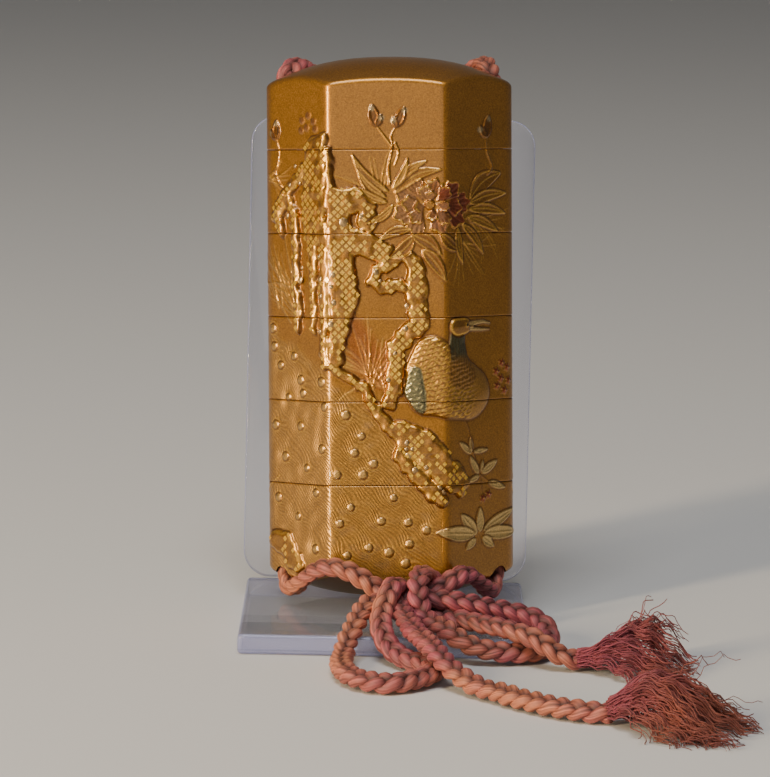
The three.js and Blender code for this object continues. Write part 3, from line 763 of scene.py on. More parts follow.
rock_inside += 0.30 * rough(u, z, 2.6, 31) + 0.05 * rough(u, z, 1.1, 32)
corner_rock = soft_edge(13 - z, 3) * soft_edge(-15 - u, 3)
crown = np.clip(rock_inside / 1.05, 0, 1)
crown = np.sqrt(1 - (1 - crown) ** 2)
# Painted shade: a soft brown band just outside the rock's edge.
lay(where, 0.75 * soft_edge(rock_inside + 0.16, 0.4), colour=brown_dust_and_shade, shine=0)
rock_height = (0.66 * crown + 0.10 * rough(u, z, 2.1, 33) * crown) * (1 - 0.6 * corner_rock)
lay(where, soft_edge(rock_inside), height=0.10 + rock_height,
    colour=ground_gold * 0.92 + pale_gold * 0.06, shine=0.6)
lay(where, 0.4 * soft_edge(rock_inside) * soft_edge(rough(u, z, 2.6, 34) - 0.25, 0.5), colour=deep_gold)
lay(where, 0.7 * soft_edge(0.18 - np.abs(rock_inside - 0.34), 0.25), colour=bright_gold, shine=0.9)
combed[where] *= 1 - soft_edge(rock_inside + 0.3)

# The peony: overlapping ruffled petals in copper and red dust, rimmed with gold, round a gold heart.
where, u, z = part_of_wall(-1, 18, 58, 73)
petal_places = [
    ((5.4, 65.8), 4.5, 150, 0.50, 0), ((5.4, 65.4), 4.6, 205, 0.52, 0), ((5.8, 64.8), 4.4, 250, 0.50, 0),
    ((7.5, 65.0), 4.4, 292, 0.50, 1), ((9.0, 65.2), 4.9, 330, 0.50, 2), ((9.4, 65.6), 5.1, 6, 0.48, 2),
    ((8.8, 66.2), 4.3, 42, 0.50, 2), ((7.2, 66.0), 3.9, 78, 0.52, 1), ((5.9, 66.2), 4.1, 115, 0.50, 0),
    ((5.6, 65.6), 3.3, 175, 0.55, 0), ((6.0, 65.2), 3.2, 232, 0.55, 0), ((8.2, 65.0), 3.1, 305, 0.55, 1),
    ((9.2, 65.6), 3.5, 350, 0.55, 2), ((8.2, 66.2), 2.9, 48, 0.55, 2), ((6.6, 66.0), 2.9, 105, 0.55, 0),
    ((6.4, 65.6), 2.1, 195, 0.6, 0), ((7.4, 65.0), 2.1, 270, 0.6, 1), ((8.0, 65.7), 2.2, 345, 0.6, 1),
    ((7.0, 66.0), 1.9, 80, 0.6, 0)]
petal_dusts = (copper_dust * 0.8 + pale_gold * 0.22, copper_dust, red_dust * 0.7 + copper_dust * 0.3)
for count, (middle, radius, turn, opening, hue) in enumerate(petal_places):
    petal(where, u, z, middle, radius, math.radians(turn), opening, 0.16 + 0.018 * count,
          petal_dusts[hue], 4 + count % 3)
heart = np.hypot(u - 7.0, z - 65.6)
lay(where, soft_edge(0.8 - heart), height=0.50 + 0.08 * rough(u, z, 0.5, 41), colour=ground_gold, shine=0.5)

# Leaves round the peony, and the leaves of the bank below.
for base, tip, width, bow, colour in (
        ((1.2, 67.6), (9.0, 71.4), 1.9, 1.1, None), ((1.0, 68.2), (6.6, 72.9), 1.5, 0.7, None),
        ((0.9, 68.4), (3.4, 73.4), 1.2, -0.5, None), ((0.2, 67.8), (-5.8, 74.0), 1.5, 0.9, None),
        ((-0.2, 66.8), (-5.0, 71.6), 1.5, 0.7, None), ((0, 66.0), (-4.4, 68.4), 1.3, 0.5, None),
        ((1.0, 65.6), (-3.2, 62.6), 1.3, 0.5, None), ((3.8, 61.6), (-1.4, 59.8), 1.6, -0.5, deep_gold),
        ((4.4, 60.4), (0.2, 56.8), 2.2, 0.5, deep_gold), ((4.2, 60.6), (8.9, 57.2), 2.3, 0.5, deep_gold),
        ((5.8, 58.2), (9.6, 53.0), 2.2, 0.4, deep_gold), ((8.8, 60.8), (12.8, 58.0), 2.0, -0.4, deep_gold),
        ((14.8, 66.6), (21.6, 70.8), 3.0, 0.9, None), ((14.6, 65.8), (22.8, 67.4), 2.0, 0.5, None),
        ((14.6, 64.8), (22.6, 64.0), 1.8, 0.5, None), ((14.2, 63.6), (21.0, 61.0), 1.7, 0.4, None),
        ((13.0, 62.4), (17.6, 57.4), 1.6, 0.5, None), ((12.2, 61.8), (13.2, 55.8), 1.5, -0.4, None)):
    leaf(base, tip, width, bow=bow, colour=colour, height=0.20)

# Twigs with buds that have silver tips.
for twig in (
        [(0.4, 69), (0.3, 72), (0.9, 75.2), (0.7, 77), (1.7, 78.8)],
        [(0.9, 75), (0.2, 76), (-1.4, 78.2), (-2.0, 79)], [(1.3, 75.8), (1.9, 74.2), (1.2, 72)],
        [(18.6, 70.6), (19.6, 71.9), (18.5, 74.4), (18.4, 76.8)],
        [(-19.4, 67.2), (-21.9, 70.6), (-21.5, 72.2), (-21.1, 74.6), (-21.8, 76.6)]):
    line_stroke(curve(twig), 0.5, 0.22, colour=deep_gold, shine=0.3)
    line_stroke(curve(twig), 0.2, 0.05, colour=bright_gold, shine=0.8)
for base, tip, width in (
        ((-1.7, 78.4), (-2.5, 82.2), 1.7), ((-1.6, 78.6), (-0.9, 80.6), 1.0), ((1.6, 78.4), (2.9, 81.8), 1.6),
        ((1.6, 78.2), (1.0, 80.2), 0.9), ((18.4, 76.6), (18.9, 80.4), 1.8), ((18.2, 76.6), (17.0, 78.6), 1.0),
        ((-21.8, 76.4), (-21.6, 79.8), 1.7), ((-21.9, 76.4), (-23.0, 78.2), 0.9)):
    leaf(base, tip, width, height=0.22, colour=deep_gold, veined=False, shine=0.2, edge_gold=False)
    where, u, z = part_of_wall(tip[0] - 1.2, tip[0] + 1.2, tip[1] - 1.6, tip[1] + 0.8)
    lay(where, soft_edge(0.5 - np.hypot(u - tip[0], z - tip[1] + 0.7), 0.5), colour=silver_dust, shine=0.3)
for bud_u, bud_z in ((-15.6, 79.6), (-14.2, 80.4), (-13.0, 79.4), (-14.6, 78.4), (-15.8, 78.0),
                     (-12.6, 78.2)):
    where, u, z = part_of_wall(bud_u - 1, bud_u + 1, bud_z - 1, bud_z + 1)
    lay(where, 0.8 * soft_edge(0.55 - np.hypot(u - bud_u, z - bud_z), 0.4), colour=copper_dust, add=0.10)

# The water bird: its body is modelled highest at the breast, with rows of small feathers.
body = [(5.0, 35.0, 2.3), (6.0, 38.4, 3.1), (7.2, 40.9, 3.1), (9.8, 38.2, 4.0), (12.6, 35.6, 4.6),
        (14.6, 34.6, 4.2)]
rump = [(5.0, 35.0, 2.4), (6.6, 34.2, 3.3), (10, 34.6, 4.2), (14.2, 34.4, 4.3)]
where, u, z = part_of_wall(1.5, 21, 28, 49)
inside = np.maximum(inside_run(body, u, z), inside_run(rump, u, z))
dome = np.sqrt(np.clip(1 - (1 - np.clip(inside / 3.0, 0, 1)) ** 2, 0, 1))
# Painted shade: a soft brown band just outside the edge of the bird's body.
lay(where, 0.6 * soft_edge(inside + 0.35, 0.6), colour=brown_dust_and_shade, shine=0)
lay(where, soft_edge(inside), height=0.10 + 0.58 * dome, colour=ground_gold * 0.8 + pale_gold * 0.2,
    shine=0.35)
feather_row, feather_pitch = 0.78, 1.25             # mm from row to row, and along a row
row = (z - 0.30 * u + 0.25 * rough(u, z, 3.0, 61)) / feather_row
across = (u + 0.30 * z + 0.2 * rough(u, z, 2.6, 62)) / feather_pitch + 0.5 * (np.floor(row) % 2)
feather_reach = np.hypot((across % 1 - 0.5) * feather_pitch, (1 - row % 1) * 1.1 - 0.25)
feather_rim = soft_edge(0.13 - np.abs(feather_reach - 0.55), 0.18)
feathered = soft_edge(inside - 0.15) * soft_edge(14.5 - u, 4)
lay(where, feathered, add=0.10 * (1 - row % 1) - 0.03)
lay(where, feathered * feather_rim, colour=bright_gold, shine=0.8, add=0.06)
lay(where, feathered * soft_edge(feather_reach - 0.66, 0.1) * 0.5, colour=brown_dust_and_shade)
wing = inside_run([(4.3, 38.0, 1.0), (4.2, 34.6, 1.7), (4.6, 32.2, 1.4)], u, z)
wing_cover = soft_edge(wing) * soft_edge(inside)
lay(where, wing_cover, colour=green_silver, shine=0.6, add=0.10)
lay(where, wing_cover * np.clip(np.sin((z + 0.5 * u) * 2 * np.pi / 0.8), 0, 1),
    colour=green_silver * 0.5 + silver_dust * 0.5, shine=0.5, add=0.05)
neck = inside_run([(12.4, 38.0, 2.9), (12.0, 40.4, 2.0), (11.8, 42.6, 1.65), (12.0, 45.2, 1.5)], u, z)
grey_part = soft_edge(z - 40.6 + 0.4 * rough(u, z, 1.6, 63), 2.4)
lay(where, soft_edge(neck + 0.2, 0.3) * soft_edge(z - 41), colour=brown_dust_and_shade, shine=0)
rise[where] = np.maximum(rise[where], soft_edge(neck) * (0.15 + 0.45 * np.sqrt(np.clip(neck / 1.7, 0, 1))))
lay(where, soft_edge(neck), colour=ground_gold * 0.85 + pale_gold * 0.1, shine=0.3)
lay(where, soft_edge(neck) * grey_part, colour=green_silver * 0.8, shine=0.3)
lay(where, soft_edge(neck) * np.clip(np.sin(u * 2 * np.pi / 0.55 + 1.6 * rough(u, z, 1.5, 8)), 0, 1) * 0.4,
    colour=brown_dust_and_shade, add=0.03)
head = inside_run([(11.8, 45.4, 1.5), (13.4, 45.6, 1.35), (14.6, 45.5, 0.8)], u, z)
lay(where, soft_edge(head + 0.25, 0.3), colour=brown_dust_and_shade, shine=0)
lay(where, soft_edge(head), height=0.22 + 0.42 * np.sqrt(np.clip(head / 1.4, 0, 1)),
    colour=ground_gold * 0.9, shine=0.3)
lay(where, soft_edge(0.16 - np.abs(head - 0.2)), colour=bright_gold, shine=0.8)
for bill in ([(14.6, 45.9, 0.42), (17.4, 46.2, 0.30), (18.9, 45.9, 0.14)],
             [(14.6, 45.1, 0.34), (17.2, 44.9, 0.24), (18.8, 44.9, 0.1)]):
    beak = inside_run(bill, u, z)
    lay(where, soft_edge(beak + 0.14, 0.2), colour=brown_dust_and_shade, shine=0)
    lay(where, soft_edge(beak), height=0.30, colour=pale_gold, shine=0.6)
eye = np.hypot(u - 13.5, z - 45.75)
lay(where, soft_edge(0.42 - eye), colour=bright_gold, shine=0.9, add=0.05)
lay(where, soft_edge(0.24 - eye), colour=srgb("#1d120a"), shine=1.0, add=0.05)
combed[where] *= 1 - soft_edge(inside + 0.3)

# Sprigs of silvery leaves at the lower right, and small red flowers beyond the bird.
low_sprig = [
    ((16.0, 10.9), (12.6, 14.4), 2.2), ((16.7, 11.2), (16.8, 15.4), 1.7), ((17.4, 11.4), (24.6, 14.8), 1.9),
    ((17.6, 10.9), (25.6, 10.9), 2.3), ((15.6, 10.9), (7.8, 11.5), 2.5), ((15.8, 10.2), (13.6, 8.4), 1.3),
    ((17.2, 10.3), (19.8, 8.6), 1.7)]
high_sprig = [
    ((14.8, 24.4), (12.3, 26.4), 1.1), ((14.9, 24.6), (14.7, 27.2), 0.9), ((15.3, 24.6), (18.6, 24.9), 0.8),
    ((16.4, 20.9), (14.6, 24.0), 1.2), ((17.0, 21.2), (17.4, 23.2), 0.8), ((17.2, 21.0), (20.6, 23.0), 1.4),
    ((18.6, 19.4), (22.4, 18.3), 1.2), ((16.6, 20.6), (14.2, 19.6), 0.9)]
for sprig, height in ((low_sprig, 0.14), (high_sprig, 0.12)):
    for base, tip, width in sprig:
        leaf(base, tip, width, height=height, colour=pale_gold, veined=False, shine=0.6, edge_gold=False)
for stem in (curve([(15.3, 24.6), (16.3, 22.4), (16.9, 20.8), (17.2, 18.4), (17.9, 15.6)]),
             curve([(15.0, 25), (14.2, 29), (12, 31.6)]), [(16.8, 20.8), (19.2, 19.3)]):
    line_stroke(stem, 0.26, 0.10, colour=deep_gold)
for flower_u, flower_z in ((20.4, 37.8), (21.6, 39.2), (22.8, 38.4), (21.4, 36.6), (23.2, 36.2), (20.6, 35.4),
                           (22.2, 34.6), (18.6, 17.4), (17.4, 16.8)):
    where, u, z = part_of_wall(flower_u - 1.2, flower_u + 1.2, flower_z - 1.2, flower_z + 1.2)
    angle = np.arctan2(z - flower_z, u - flower_u)
    away = np.hypot(u - flower_u, z - flower_z)
    lay(where, soft_edge(0.55 + 0.16 * np.cos(5 * angle) - away), height=0.16, colour=red_dust, shine=0.3)
    lay(where, soft_edge(0.18 - away), colour=bright_gold, shine=0.9, add=0.08)

# The back carries a few sprigs and grasses of the same kind, more sparely.
for root, turn in (((38, 20), 1), ((-36, 42), -1), ((47, 52), 1)):
    for angle in (20, 55, 90, 125, 160, 200, 340):
        way = np.array([math.cos(math.radians(angle)), math.sin(math.radians(angle))])
        base, tip = root + 0.8 * way, root + 5.4 * way
        leaf(base, tip, 1.9, bow=0.4 * turn, height=0.22, colour=pale_gold, shine=0.6)
for root, seed in (((-44, 8), 51), ((-30, 12), 52), ((44, 9), 53), ((30, 12), 54)):
    fan(root, range(60, 125, 9), 13, seed, 0.36, 0.13, bright_gold)

# ==== The inro's lid and cases ====
# A lid and five hollow cases of thin wood, built up with lacquer and finished in gold. Each case has a
# lip that slides into the piece above, so the joints close to a hairline. In section the inro has eight
# sides, and its lid and foot are low domes. The cord's tunnel runs up inside each rounded side.
half_width, half_depth, half_face, facet_side, side_bulge = 20.5, 10.8, 9.8, 2.0, 0.9
dome_rise, dome_front, dome_power = 4.6, 3.9, 2.4
lid_side, case_pitch, bottom_side = 10.8, 13.86, 14.7
hairline = 0.03                                     # the gap at a joint, between its eased edges
lid_wall, case_floor, lip_height, recess_depth = 1.8, 1.6, 2.2, 2.5
tunnel_x, tunnel_radius = 17.3, 1.9
first_joint = dome_rise + bottom_side
lid_joint = first_joint + 4 * case_pitch
crest = lid_joint + lid_side + dome_rise


outline_points = 8000
corner_round = 0.52


def wall_outline(inset, corner, limit=half_width):
    """The eight-sided outline, this far inside the wall, its corners rounded and its sides cut off at limit.

    Gives its points, evenly spaced round from the middle of the front, the outward direction at each, and
    how far it is round.
    """
    run = unit(np.array([half_width - side_bulge - half_face, half_depth - facet_side]))
    facet = run[1] * half_face + run[0] * half_depth - inset
    side_x = min(half_width - side_bulge, limit)
    side_y = (facet - run[1] * side_x) / run[0]
    face_y = half_depth - inset
    face_x = (facet - run[0] * face_y) / run[1]
    bulge = 0 if limit < half_width - side_bulge else side_bulge - inset
    share = np.linspace(1, 0, 7)
    quarter = ([(0, -face_y), (face_x, -face_y)]
               + [(side_x + bulge * (1 - s * s), -side_y * s) for s in share])
    turned = [(x, -y) for x, y in quarter[-2::-1]]
    half = quarter + turned
    full = np.array(half + [(-x, y) for x, y in half[-2::-1]], float)
    walked = np.concatenate([[0], np.cumsum(np.linalg.norm(np.diff(full, axis=0), axis=1))])
    places = np.linspace(0, walked[-1], outline_points + 1)[:-1]
    fine = np.stack([np.interp(places, walked, full[:, axis]) for axis in (0, 1)], 1)
    if corner:
        spread = max(1, round(corner / (walked[-1] / outline_points)))
        window = np.exp(-0.5 * (np.arange(-3 * spread, 3 * spread + 1) / spread) ** 2)
        window /= window.sum()
        fine = np.stack([np.convolve(np.pad(fine[:, axis], 3 * spread, mode="wrap"), window, mode="valid")
                         for axis in (0, 1)], 1)
    heading = unit(np.roll(fine, -1, axis=0) - np.roll(fine, 1, axis=0))
    return fine, np.stack([heading[:, 1], -heading[:, 0]], 1), walked[-1]


outline, outline_out, way_round = wall_outline(0, corner_round)
wall_step, back_step, front_reach = 0.14, 0.34, 26  # mm between the mesh's columns, finer round the front
columns_u = np.concatenate([np.arange(0.1 - front_reach, front_reach - 0.1, wall_step),
                            np.arange(front_reach + 0.1, way_round - front_reach - 0.1, back_step)])
share_round = (columns_u / way_round) % 1


def around(fine):
    """Values of a closed outline at each of the wall's columns."""
    places = share_round * len(fine)
    low = np.floor(places).astype(int)
    part = (places - low)[:, None]
    return fine[low % len(fine)] * (1 - part) + fine[(low + 1) % len(fine)] * part


wall, wall_out = around(outline), unit(around(outline_out))
wall_u = (columns_u + way_round / 2) % way_round - way_round / 2
inner, lip, recess = (around(wall_outline(inset, 0, limit)[0])
                      for inset, limit in ((1.7, 13.4), (0.9, 14.2), (0.6, 14.5)))


def sample(drawing, u, z):
    """The drawing's value at each place on the wall."""
    column = np.clip((u - u_line[0]) / GRAIN, 0, len(u_line) - 1.001)
    row = np.clip((z - z_line[0]) / GRAIN, 0, len(z_line) - 1.001)
    c, r = column.astype(int), row.astype(int)
    fc, fr = column - c, row - r
    if drawing.ndim == 3:
        fc, fr = fc[..., None], fr[..., None]
    return ((drawing[r, c] * (1 - fc) + drawing[r, c + 1] * fc) * (1 - fr)
            + (drawing[r + 1, c] * (1 - fc) + drawing[r + 1, c + 1] * fc) * fr)


def dome_fall(points):
    """How far below the dome's crest it is over each place."""
    return (dome_rise * (np.abs(points[:, 0]) / half_width) ** dome_power
            + dome_front * (points[:, 1] / half_depth) ** 2)


def wall_ring(z, inset):
    """A ring of the wall with the picture's relief. z may differ from column to column."""
    z = np.broadcast_to(np.asarray(z, float), wall_u.shape)
    out = sample(rise, wall_u, z) - inset
    return np.column_stack([wall + wall_out * out[:, None], z])


def flat_ring(points, z):
    """An outline at one height."""
    return np.column_stack([points, np.full(len(points), float(z))])


def wall_rings(low, high, ease_low=True, ease_high=True):
    """The wall between two heights (each one number, or one a column), its joint edges just eased."""
    ease = [(0.0, 0.20), (0.02, 0.10), (0.07, 0.02)]    # up from the joint, and in from the wall
    eased = 0.16                                        # where the plain wall starts
    low, high = np.broadcast_to(low, wall_u.shape), np.broadcast_to(high, wall_u.shape)
    steps = int(np.ceil((high - low).max() / wall_step))
    body = [(low + eased) + (high - low - 2 * eased) * t for t in np.linspace(0, 1, steps)]
    rings = [wall_ring(low + up, inset) for up, inset in ease] if ease_low else []
    rings += [wall_ring(z, 0) for z in body]
    rings += [wall_ring(high - down, inset) for down, inset in reversed(ease)] if ease_high else []
    return rings


def dome_rings(points, top, up, shares):
    """An outline shrunk by each share and laid on the dome: up is 1 for the lid, -1 for the foot."""
    return [np.column_stack([points * share, top - up * dome_fall(points * share)]) for share in shares]


rim_round = 0.75


def domed_wall(up):
    """Rings from the wall over its rounded rim to the dome's crest, and the height where they start."""
    top = crest if up > 0 else 0
    rim = top - up * dome_fall(wall)
    start = np.column_stack([wall, rim - up * rim_round])
    corner = np.column_stack([wall, rim])
    end = dome_rings(wall, top, up, [0.955])[0]
    bend = [start * (1 - t) ** 2 + 2 * corner * t * (1 - t) + end * t * t for t in np.linspace(0.14, 1, 7)]
    shares = [0.92, 0.87, 0.8, 0.72, 0.63, 0.53, 0.42, 0.3, 0.18, 0.07]
    return bend + dome_rings(wall, top, up, shares), rim - up * rim_round


def closed_loft(name, rings, bottom, top):
    """A closed mesh through the rings, from a point at its bottom to a point at its top."""
    sides = len(rings[0])
    points = np.vstack([[bottom]] + rings + [[top]])
    last = 1 + (len(rings) - 1) * sides
    faces = ring_quads(1, len(rings), sides).tolist()
    faces += [[0, 1 + (i + 1) % sides, 1 + i] for i in range(sides)]
    faces += [[len(points) - 1, last + i, last + (i + 1) % sides] for i in range(sides)]
    return mesh_piece(name, points, faces)


def open_top(top):
    """A case's shoulder, its lip, and the hollow inside the lip."""
    return [flat_ring(lip, top), flat_ring(lip, top + lip_height - 0.15),
            flat_ring(lip * 0.99, top + lip_height), flat_ring(inner, top + lip_height)]


def middle_case(name, z):
    """A case whose joint with the one below is at z. Its underside is recessed over that one's lip."""
    top = z + case_pitch - hairline
    floor = z + recess_depth + case_floor
    rings = [flat_ring(recess, z + recess_depth), flat_ring(recess, z), *wall_rings(z, top), *open_top(top),
             flat_ring(inner, floor)]
    return closed_loft(name, rings, (0, 0, z + recess_depth), (0, 0, floor))


def bottom_case(name):
    """The lowest case, with its domed foot."""
    foot, rim = domed_wall(-1)
    top = first_joint - hairline
    hollow = dome_rings(inner, lid_wall, -1, [1, 0.8, 0.6, 0.4, 0.2])
    rings = [*reversed(foot), *wall_rings(rim, top, ease_low=False), *open_top(top), *hollow]
    return closed_loft(name, rings, (0, 0, 0), (0, 0, lid_wall))


def lid_piece(name):
    """The domed lid, recessed over the top case's lip."""
    dome, rim = domed_wall(1)
    ceiling = dome_rings(inner, crest - lid_wall, 1, [0.2, 0.4, 0.6, 0.8, 1])
    shelf = lid_joint + recess_depth
    rings = [*ceiling, flat_ring(inner, shelf), flat_ring(recess, shelf), flat_ring(recess, lid_joint),
             *wall_rings(lid_joint, rim, ease_high=False), *dome]
    return closed_loft(name, rings, (0, 0, crest - lid_wall), (0, 0, crest))


mouth_flare, mouth_shift = 1.0, 1.7


def tunnel_cutter():
    """The cord's two tunnels, each flared towards the front below and towards the back above."""
    heights = np.concatenate([[-3], np.linspace(0, 9, 13), [30, 60], np.linspace(81, crest, 13), [crest + 3]])
    mouth = dome_rise * (tunnel_x / half_width) ** dome_power
    turn = np.linspace(0, 2 * np.pi, 28, endpoint=False)
    sides = len(turn)
    points, faces = [], []
    for side in (-1, 1):
        start = len(points)
        last = start + (len(heights) - 1) * sides
        for z in heights:
            below = math.exp(-max(z - mouth, 0) ** 2 / 9) * (z < 40)
            over = math.exp(-max(crest - mouth - z, 0) ** 2 / 9) * (z > 40)
            shift = mouth_shift * (over - below)
            deep = tunnel_radius + mouth_flare * (below + over)
            wide = tunnel_radius + 0.15 * (below + over)
            points += [(side * tunnel_x + wide * math.cos(t), shift + deep * math.sin(t), z) for t in turn]
        faces += ring_quads(start, len(heights), sides).tolist()
        faces += [list(range(start + sides - 1, start - 1, -1)), list(range(last, last + sides))]
    return mesh_piece("tunnels", points, faces)


# Squares of cut gold leaf are set on the rock in rows, cornerwise, and a few rounds of silver leaf.
leaf_map = np.full_like(rise, -9.0)                 # how far inside the rock's edge each place is
where, u, z = part_of_wall(*rock_bounds)
leaf_map[where] = rock_inside
leaf_pitch, leaf_margin = 1.24, 0.42
silver_rounds = [
    (3.1, 26.4, 0.5), (4.0, 25.4, 0.42), (3.0, 25.4, 0.4), (3.4, 24.3, 0.62), (4.4, 21.9, 0.55),
    (6.3, 22.3, 0.45), (0.1, 36.8, 0.45), (-8.9, 54.2, 0.5), (-9.2, 52.2, 0.42), (-8.8, 49.6, 0.5),
    (-9.3, 46.0, 0.55), (-11.1, 57.2, 0.35), (-11.0, 53.4, 0.5), (-10.9, 50.6, 0.45), (-4.2, 63.7, 0.5),
    (-7.2, 62.8, 0.75), (-1.9, 54.6, 0.5), (-1.2, 53.1, 0.35), (-16.0, 53.2, 0.6), (-15.9, 55.2, 0.4),
    (-18.0, 68.9, 0.4), (-15.9, 69.2, 0.35), (-17.3, 72.0, 0.35), (-19.3, 63.8, 0.5), (-11.1, 44.8, 0.4),
    (8.4, 19.0, 0.5), (9.0, 18.2, 0.4), (3.0, 45.3, 0.5), (3.3, 49.0, 0.55), (1.2, 41.2, 0.4)]


def leaf_places():
    """The squares and rounds: u, z, half size, sides, and how far each stands up."""
    rng = np.random.default_rng(9)
    places = []
    for i in range(-60, 60):
        for j in range(0, 190):
            u0 = (i + 0.5 * (j % 2)) * leaf_pitch + rng.normal(0, 0.04)
            z0 = j * leaf_pitch / 2 + rng.normal(0, 0.04)
            if not (-24 < u0 < 14.5 and 4 < z0 < 78):
                continue
            depth = leaf_map[int((z0 - z_line[0]) / GRAIN), int((u0 - u_line[0]) / GRAIN)]
            patch = math.sin(u0 * 0.9 + 1.3 * math.sin(z0 * 0.55)) * math.cos(z0 * 0.62)
            keep = (0.74 if z0 > 33 else 0.52) + 0.5 * patch
            if depth > leaf_margin and rng.uniform() < keep:
                places.append((u0, z0, rng.uniform(0.37, 0.44), 4, 0.06))
    return places + [(u0, z0, size, 10, 0.16) for u0, z0, size in silver_rounds]


all_leaf = leaf_places()


def leaf_mesh(low, high):
    """Points and faces of the leaf between two heights, set into the surface, and which points are silver."""
    points, faces, silvered = [], [], []
    for u0, z0, size, sides, proud in all_leaf:
        if not low + 0.25 < z0 < high - 0.25:
            continue
        square = sides == 4
        i = int((u0 / way_round % 1) * len(outline)) % len(outline)
        foot, out = outline[i], outline_out[i]
        side = np.array([-out[1], out[0]])
        top = float(sample(rise, np.array([u0]), np.array([z0]))[0]) + proud
        start = len(points)
        rings = [(size, -0.3), (size, 0.0)] if square else [
            (size, -0.3), (size * 0.97, -0.12), (size * 0.66, -0.02)]
        for reach, level in rings:
            for k in range(sides):
                turn = 2 * math.pi * k / sides
                flat = foot + out * (top + level) + side * reach * math.cos(turn)
                points.append((flat[0], flat[1], z0 + reach * 1.08 * math.sin(turn)))
        middle = foot + out * (top + (0.0 if square else 0.03))
        points.append((middle[0], middle[1], z0))
        silvered += [not square] * (len(rings) * sides + 1)
        faces += ring_quads(start, len(rings), sides).tolist()
        last = start + (len(rings) - 1) * sides
        faces += [(last + k, last + (k + 1) % sides, last + sides) for k in range(sides)]
        faces.append([start + k for k in reversed(range(sides))])
    return points, faces, silvered


gold_leaf, silver_leaf, inside_gold = srgb("#f6c048"), srgb("#a5875a"), srgb("#5a3a1c")


def finish_case(piece, low, high):
    """Cuts the tunnels, adds the leaf, gives each point its dust, and sets the piece in place."""
    cut = piece.modifiers.new("tunnels", "BOOLEAN")
    cut.object, cut.operation, cut.solver = cutter, "DIFFERENCE", "MANIFOLD"
    bpy.ops.object.select_all(action="DESELECT")
    bpy.context.view_layer.objects.active = piece
    piece.select_set(True)
    bpy.ops.object.modifier_apply(modifier="tunnels")
    body = piece.data
    place = np.empty(len(body.vertices) * 3)
    body.vertices.foreach_get("co", place)
    place = place.reshape(-1, 3) / MM
    leaf_points, leaf_faces, silvered = leaf_mesh(low, high)
    made = bmesh.new()
    made.from_mesh(body)
    added = [made.verts.new(Vector(point) * MM) for point in leaf_points]
    made.verts.index_update()
    for face in leaf_faces:
        made.faces.new([added[i] for i in face])
    made.to_mesh(body)
    made.free()
    angles = np.unwrap(np.arctan2(outline[:, 0], -outline[:, 1]))
    angles -= round(angles[0] / (2 * math.pi)) * 2 * math.pi
    own_angle = np.arctan2(place[:, 0], -place[:, 1]) % (2 * np.pi)
    u = np.interp(own_angle, angles, np.arange(len(outline)) * way_round / len(outline))
    u = (u + way_round / 2) % way_round - way_round / 2
    # The picture is only on the skin. Joints, hollows and tunnels are plain, and the hollows darker.
    reach = np.hypot(place[:, 0], place[:, 1])
    edge = np.interp(own_angle, angles, np.hypot(outline[:, 0], outline[:, 1]))
    skin = ((reach > edge - 0.35) & (np.abs(place[:, 0]) < 25)).astype(float)
    z = place[:, 2]
    colour = sample(tone, u, z) * skin[:, None] + ground_gold * (1 - skin[:, None])
    inside = (skin == 0) & (z > low + 0.6) & (z < high - 0.6) & (reach < edge - 0.55) & (high < lid_joint + 5)
    colour[inside] = inside_gold
    leaf_colour = np.where(np.reshape(silvered, (-1, 1)), silver_leaf, gold_leaf)
    linear = to_linear(np.vstack([colour, leaf_colour]))
    opaque = np.column_stack([linear, np.ones(len(linear))]).astype(np.float32)
    body.attributes.new("dust_colour", "FLOAT_COLOR", "POINT").data.foreach_set("color", opaque.ravel())
    for name, value, on_leaf in (("comb_place", sample(comb_place, u, z), 0.0),
                                 ("combed", sample(combed, u, z) * skin, 0.0),
                                 ("gloss", sample(gloss, u, z) * skin, 0.7)):
        value = np.concatenate([value, np.full(len(leaf_points), on_leaf)])
        body.attributes.new(name, "FLOAT", "POINT").data.foreach_set("value", value.astype(np.float32))
    bpy.ops.object.shade_smooth_by_angle(angle=math.radians(52))
    settle(piece, inro_place)
    body.materials.clear()
    body.materials.append(gold_lacquer)
    body.polygons.foreach_set("material_index", np.zeros(len(body.polygons), np.int32))


# Gold maki-e lacquer: gold dust sprinkled on wet lacquer, sealed and polished. The metal shows as a grain,
# half matt on the ground and brighter where the picture has been rubbed. Real dust is under 0.1 mm; the
# grain is drawn at about 0.26 mm, and the combed lines 0.50 mm apart, as coarse as they need to be to show.
gold_lacquer, lacquer = new_material("sprinkled_gold_lacquer")
lacquer.inputs["Metallic"].default_value = 0.86
lacquer.inputs["Coat Weight"].default_value = 0.6
lacquer.inputs["Coat Roughness"].default_value = 0.10
spot = add_node(gold_lacquer, "ShaderNodeTexCoord")
dusted = add_node(gold_lacquer, "ShaderNodeAttribute", attribute_name="dust_colour")
grain = add_node(gold_lacquer, "ShaderNodeTexNoise",
                 {"Vector": spot.outputs["Object"], "Scale": 3900.0, "Detail": 2.0, "Roughness": 0.7})
grain_span = add_node(gold_lacquer, "ShaderNodeMapRange", {"Value": grain.outputs["Fac"], "From Min": 0.3,
                      "From Max": 0.72, "To Min": 0.66, "To Max": 1.36})
cloud = add_node(gold_lacquer, "ShaderNodeTexNoise",
                 {"Vector": spot.outputs["Object"], "Scale": 120.0, "Detail": 4.0, "Roughness": 0.6})
cloud_span = add_node(gold_lacquer, "ShaderNodeMapRange", {"Value": cloud.outputs["Fac"], "From Min": 0.3,
                      "From Max": 0.7, "To Min": 0.93, "To Max": 1.06})
shade_by = add_node(gold_lacquer, "ShaderNodeMath", {0: grain_span.outputs["Result"],
                    1: cloud_span.outputs["Result"]}, operation="MULTIPLY")
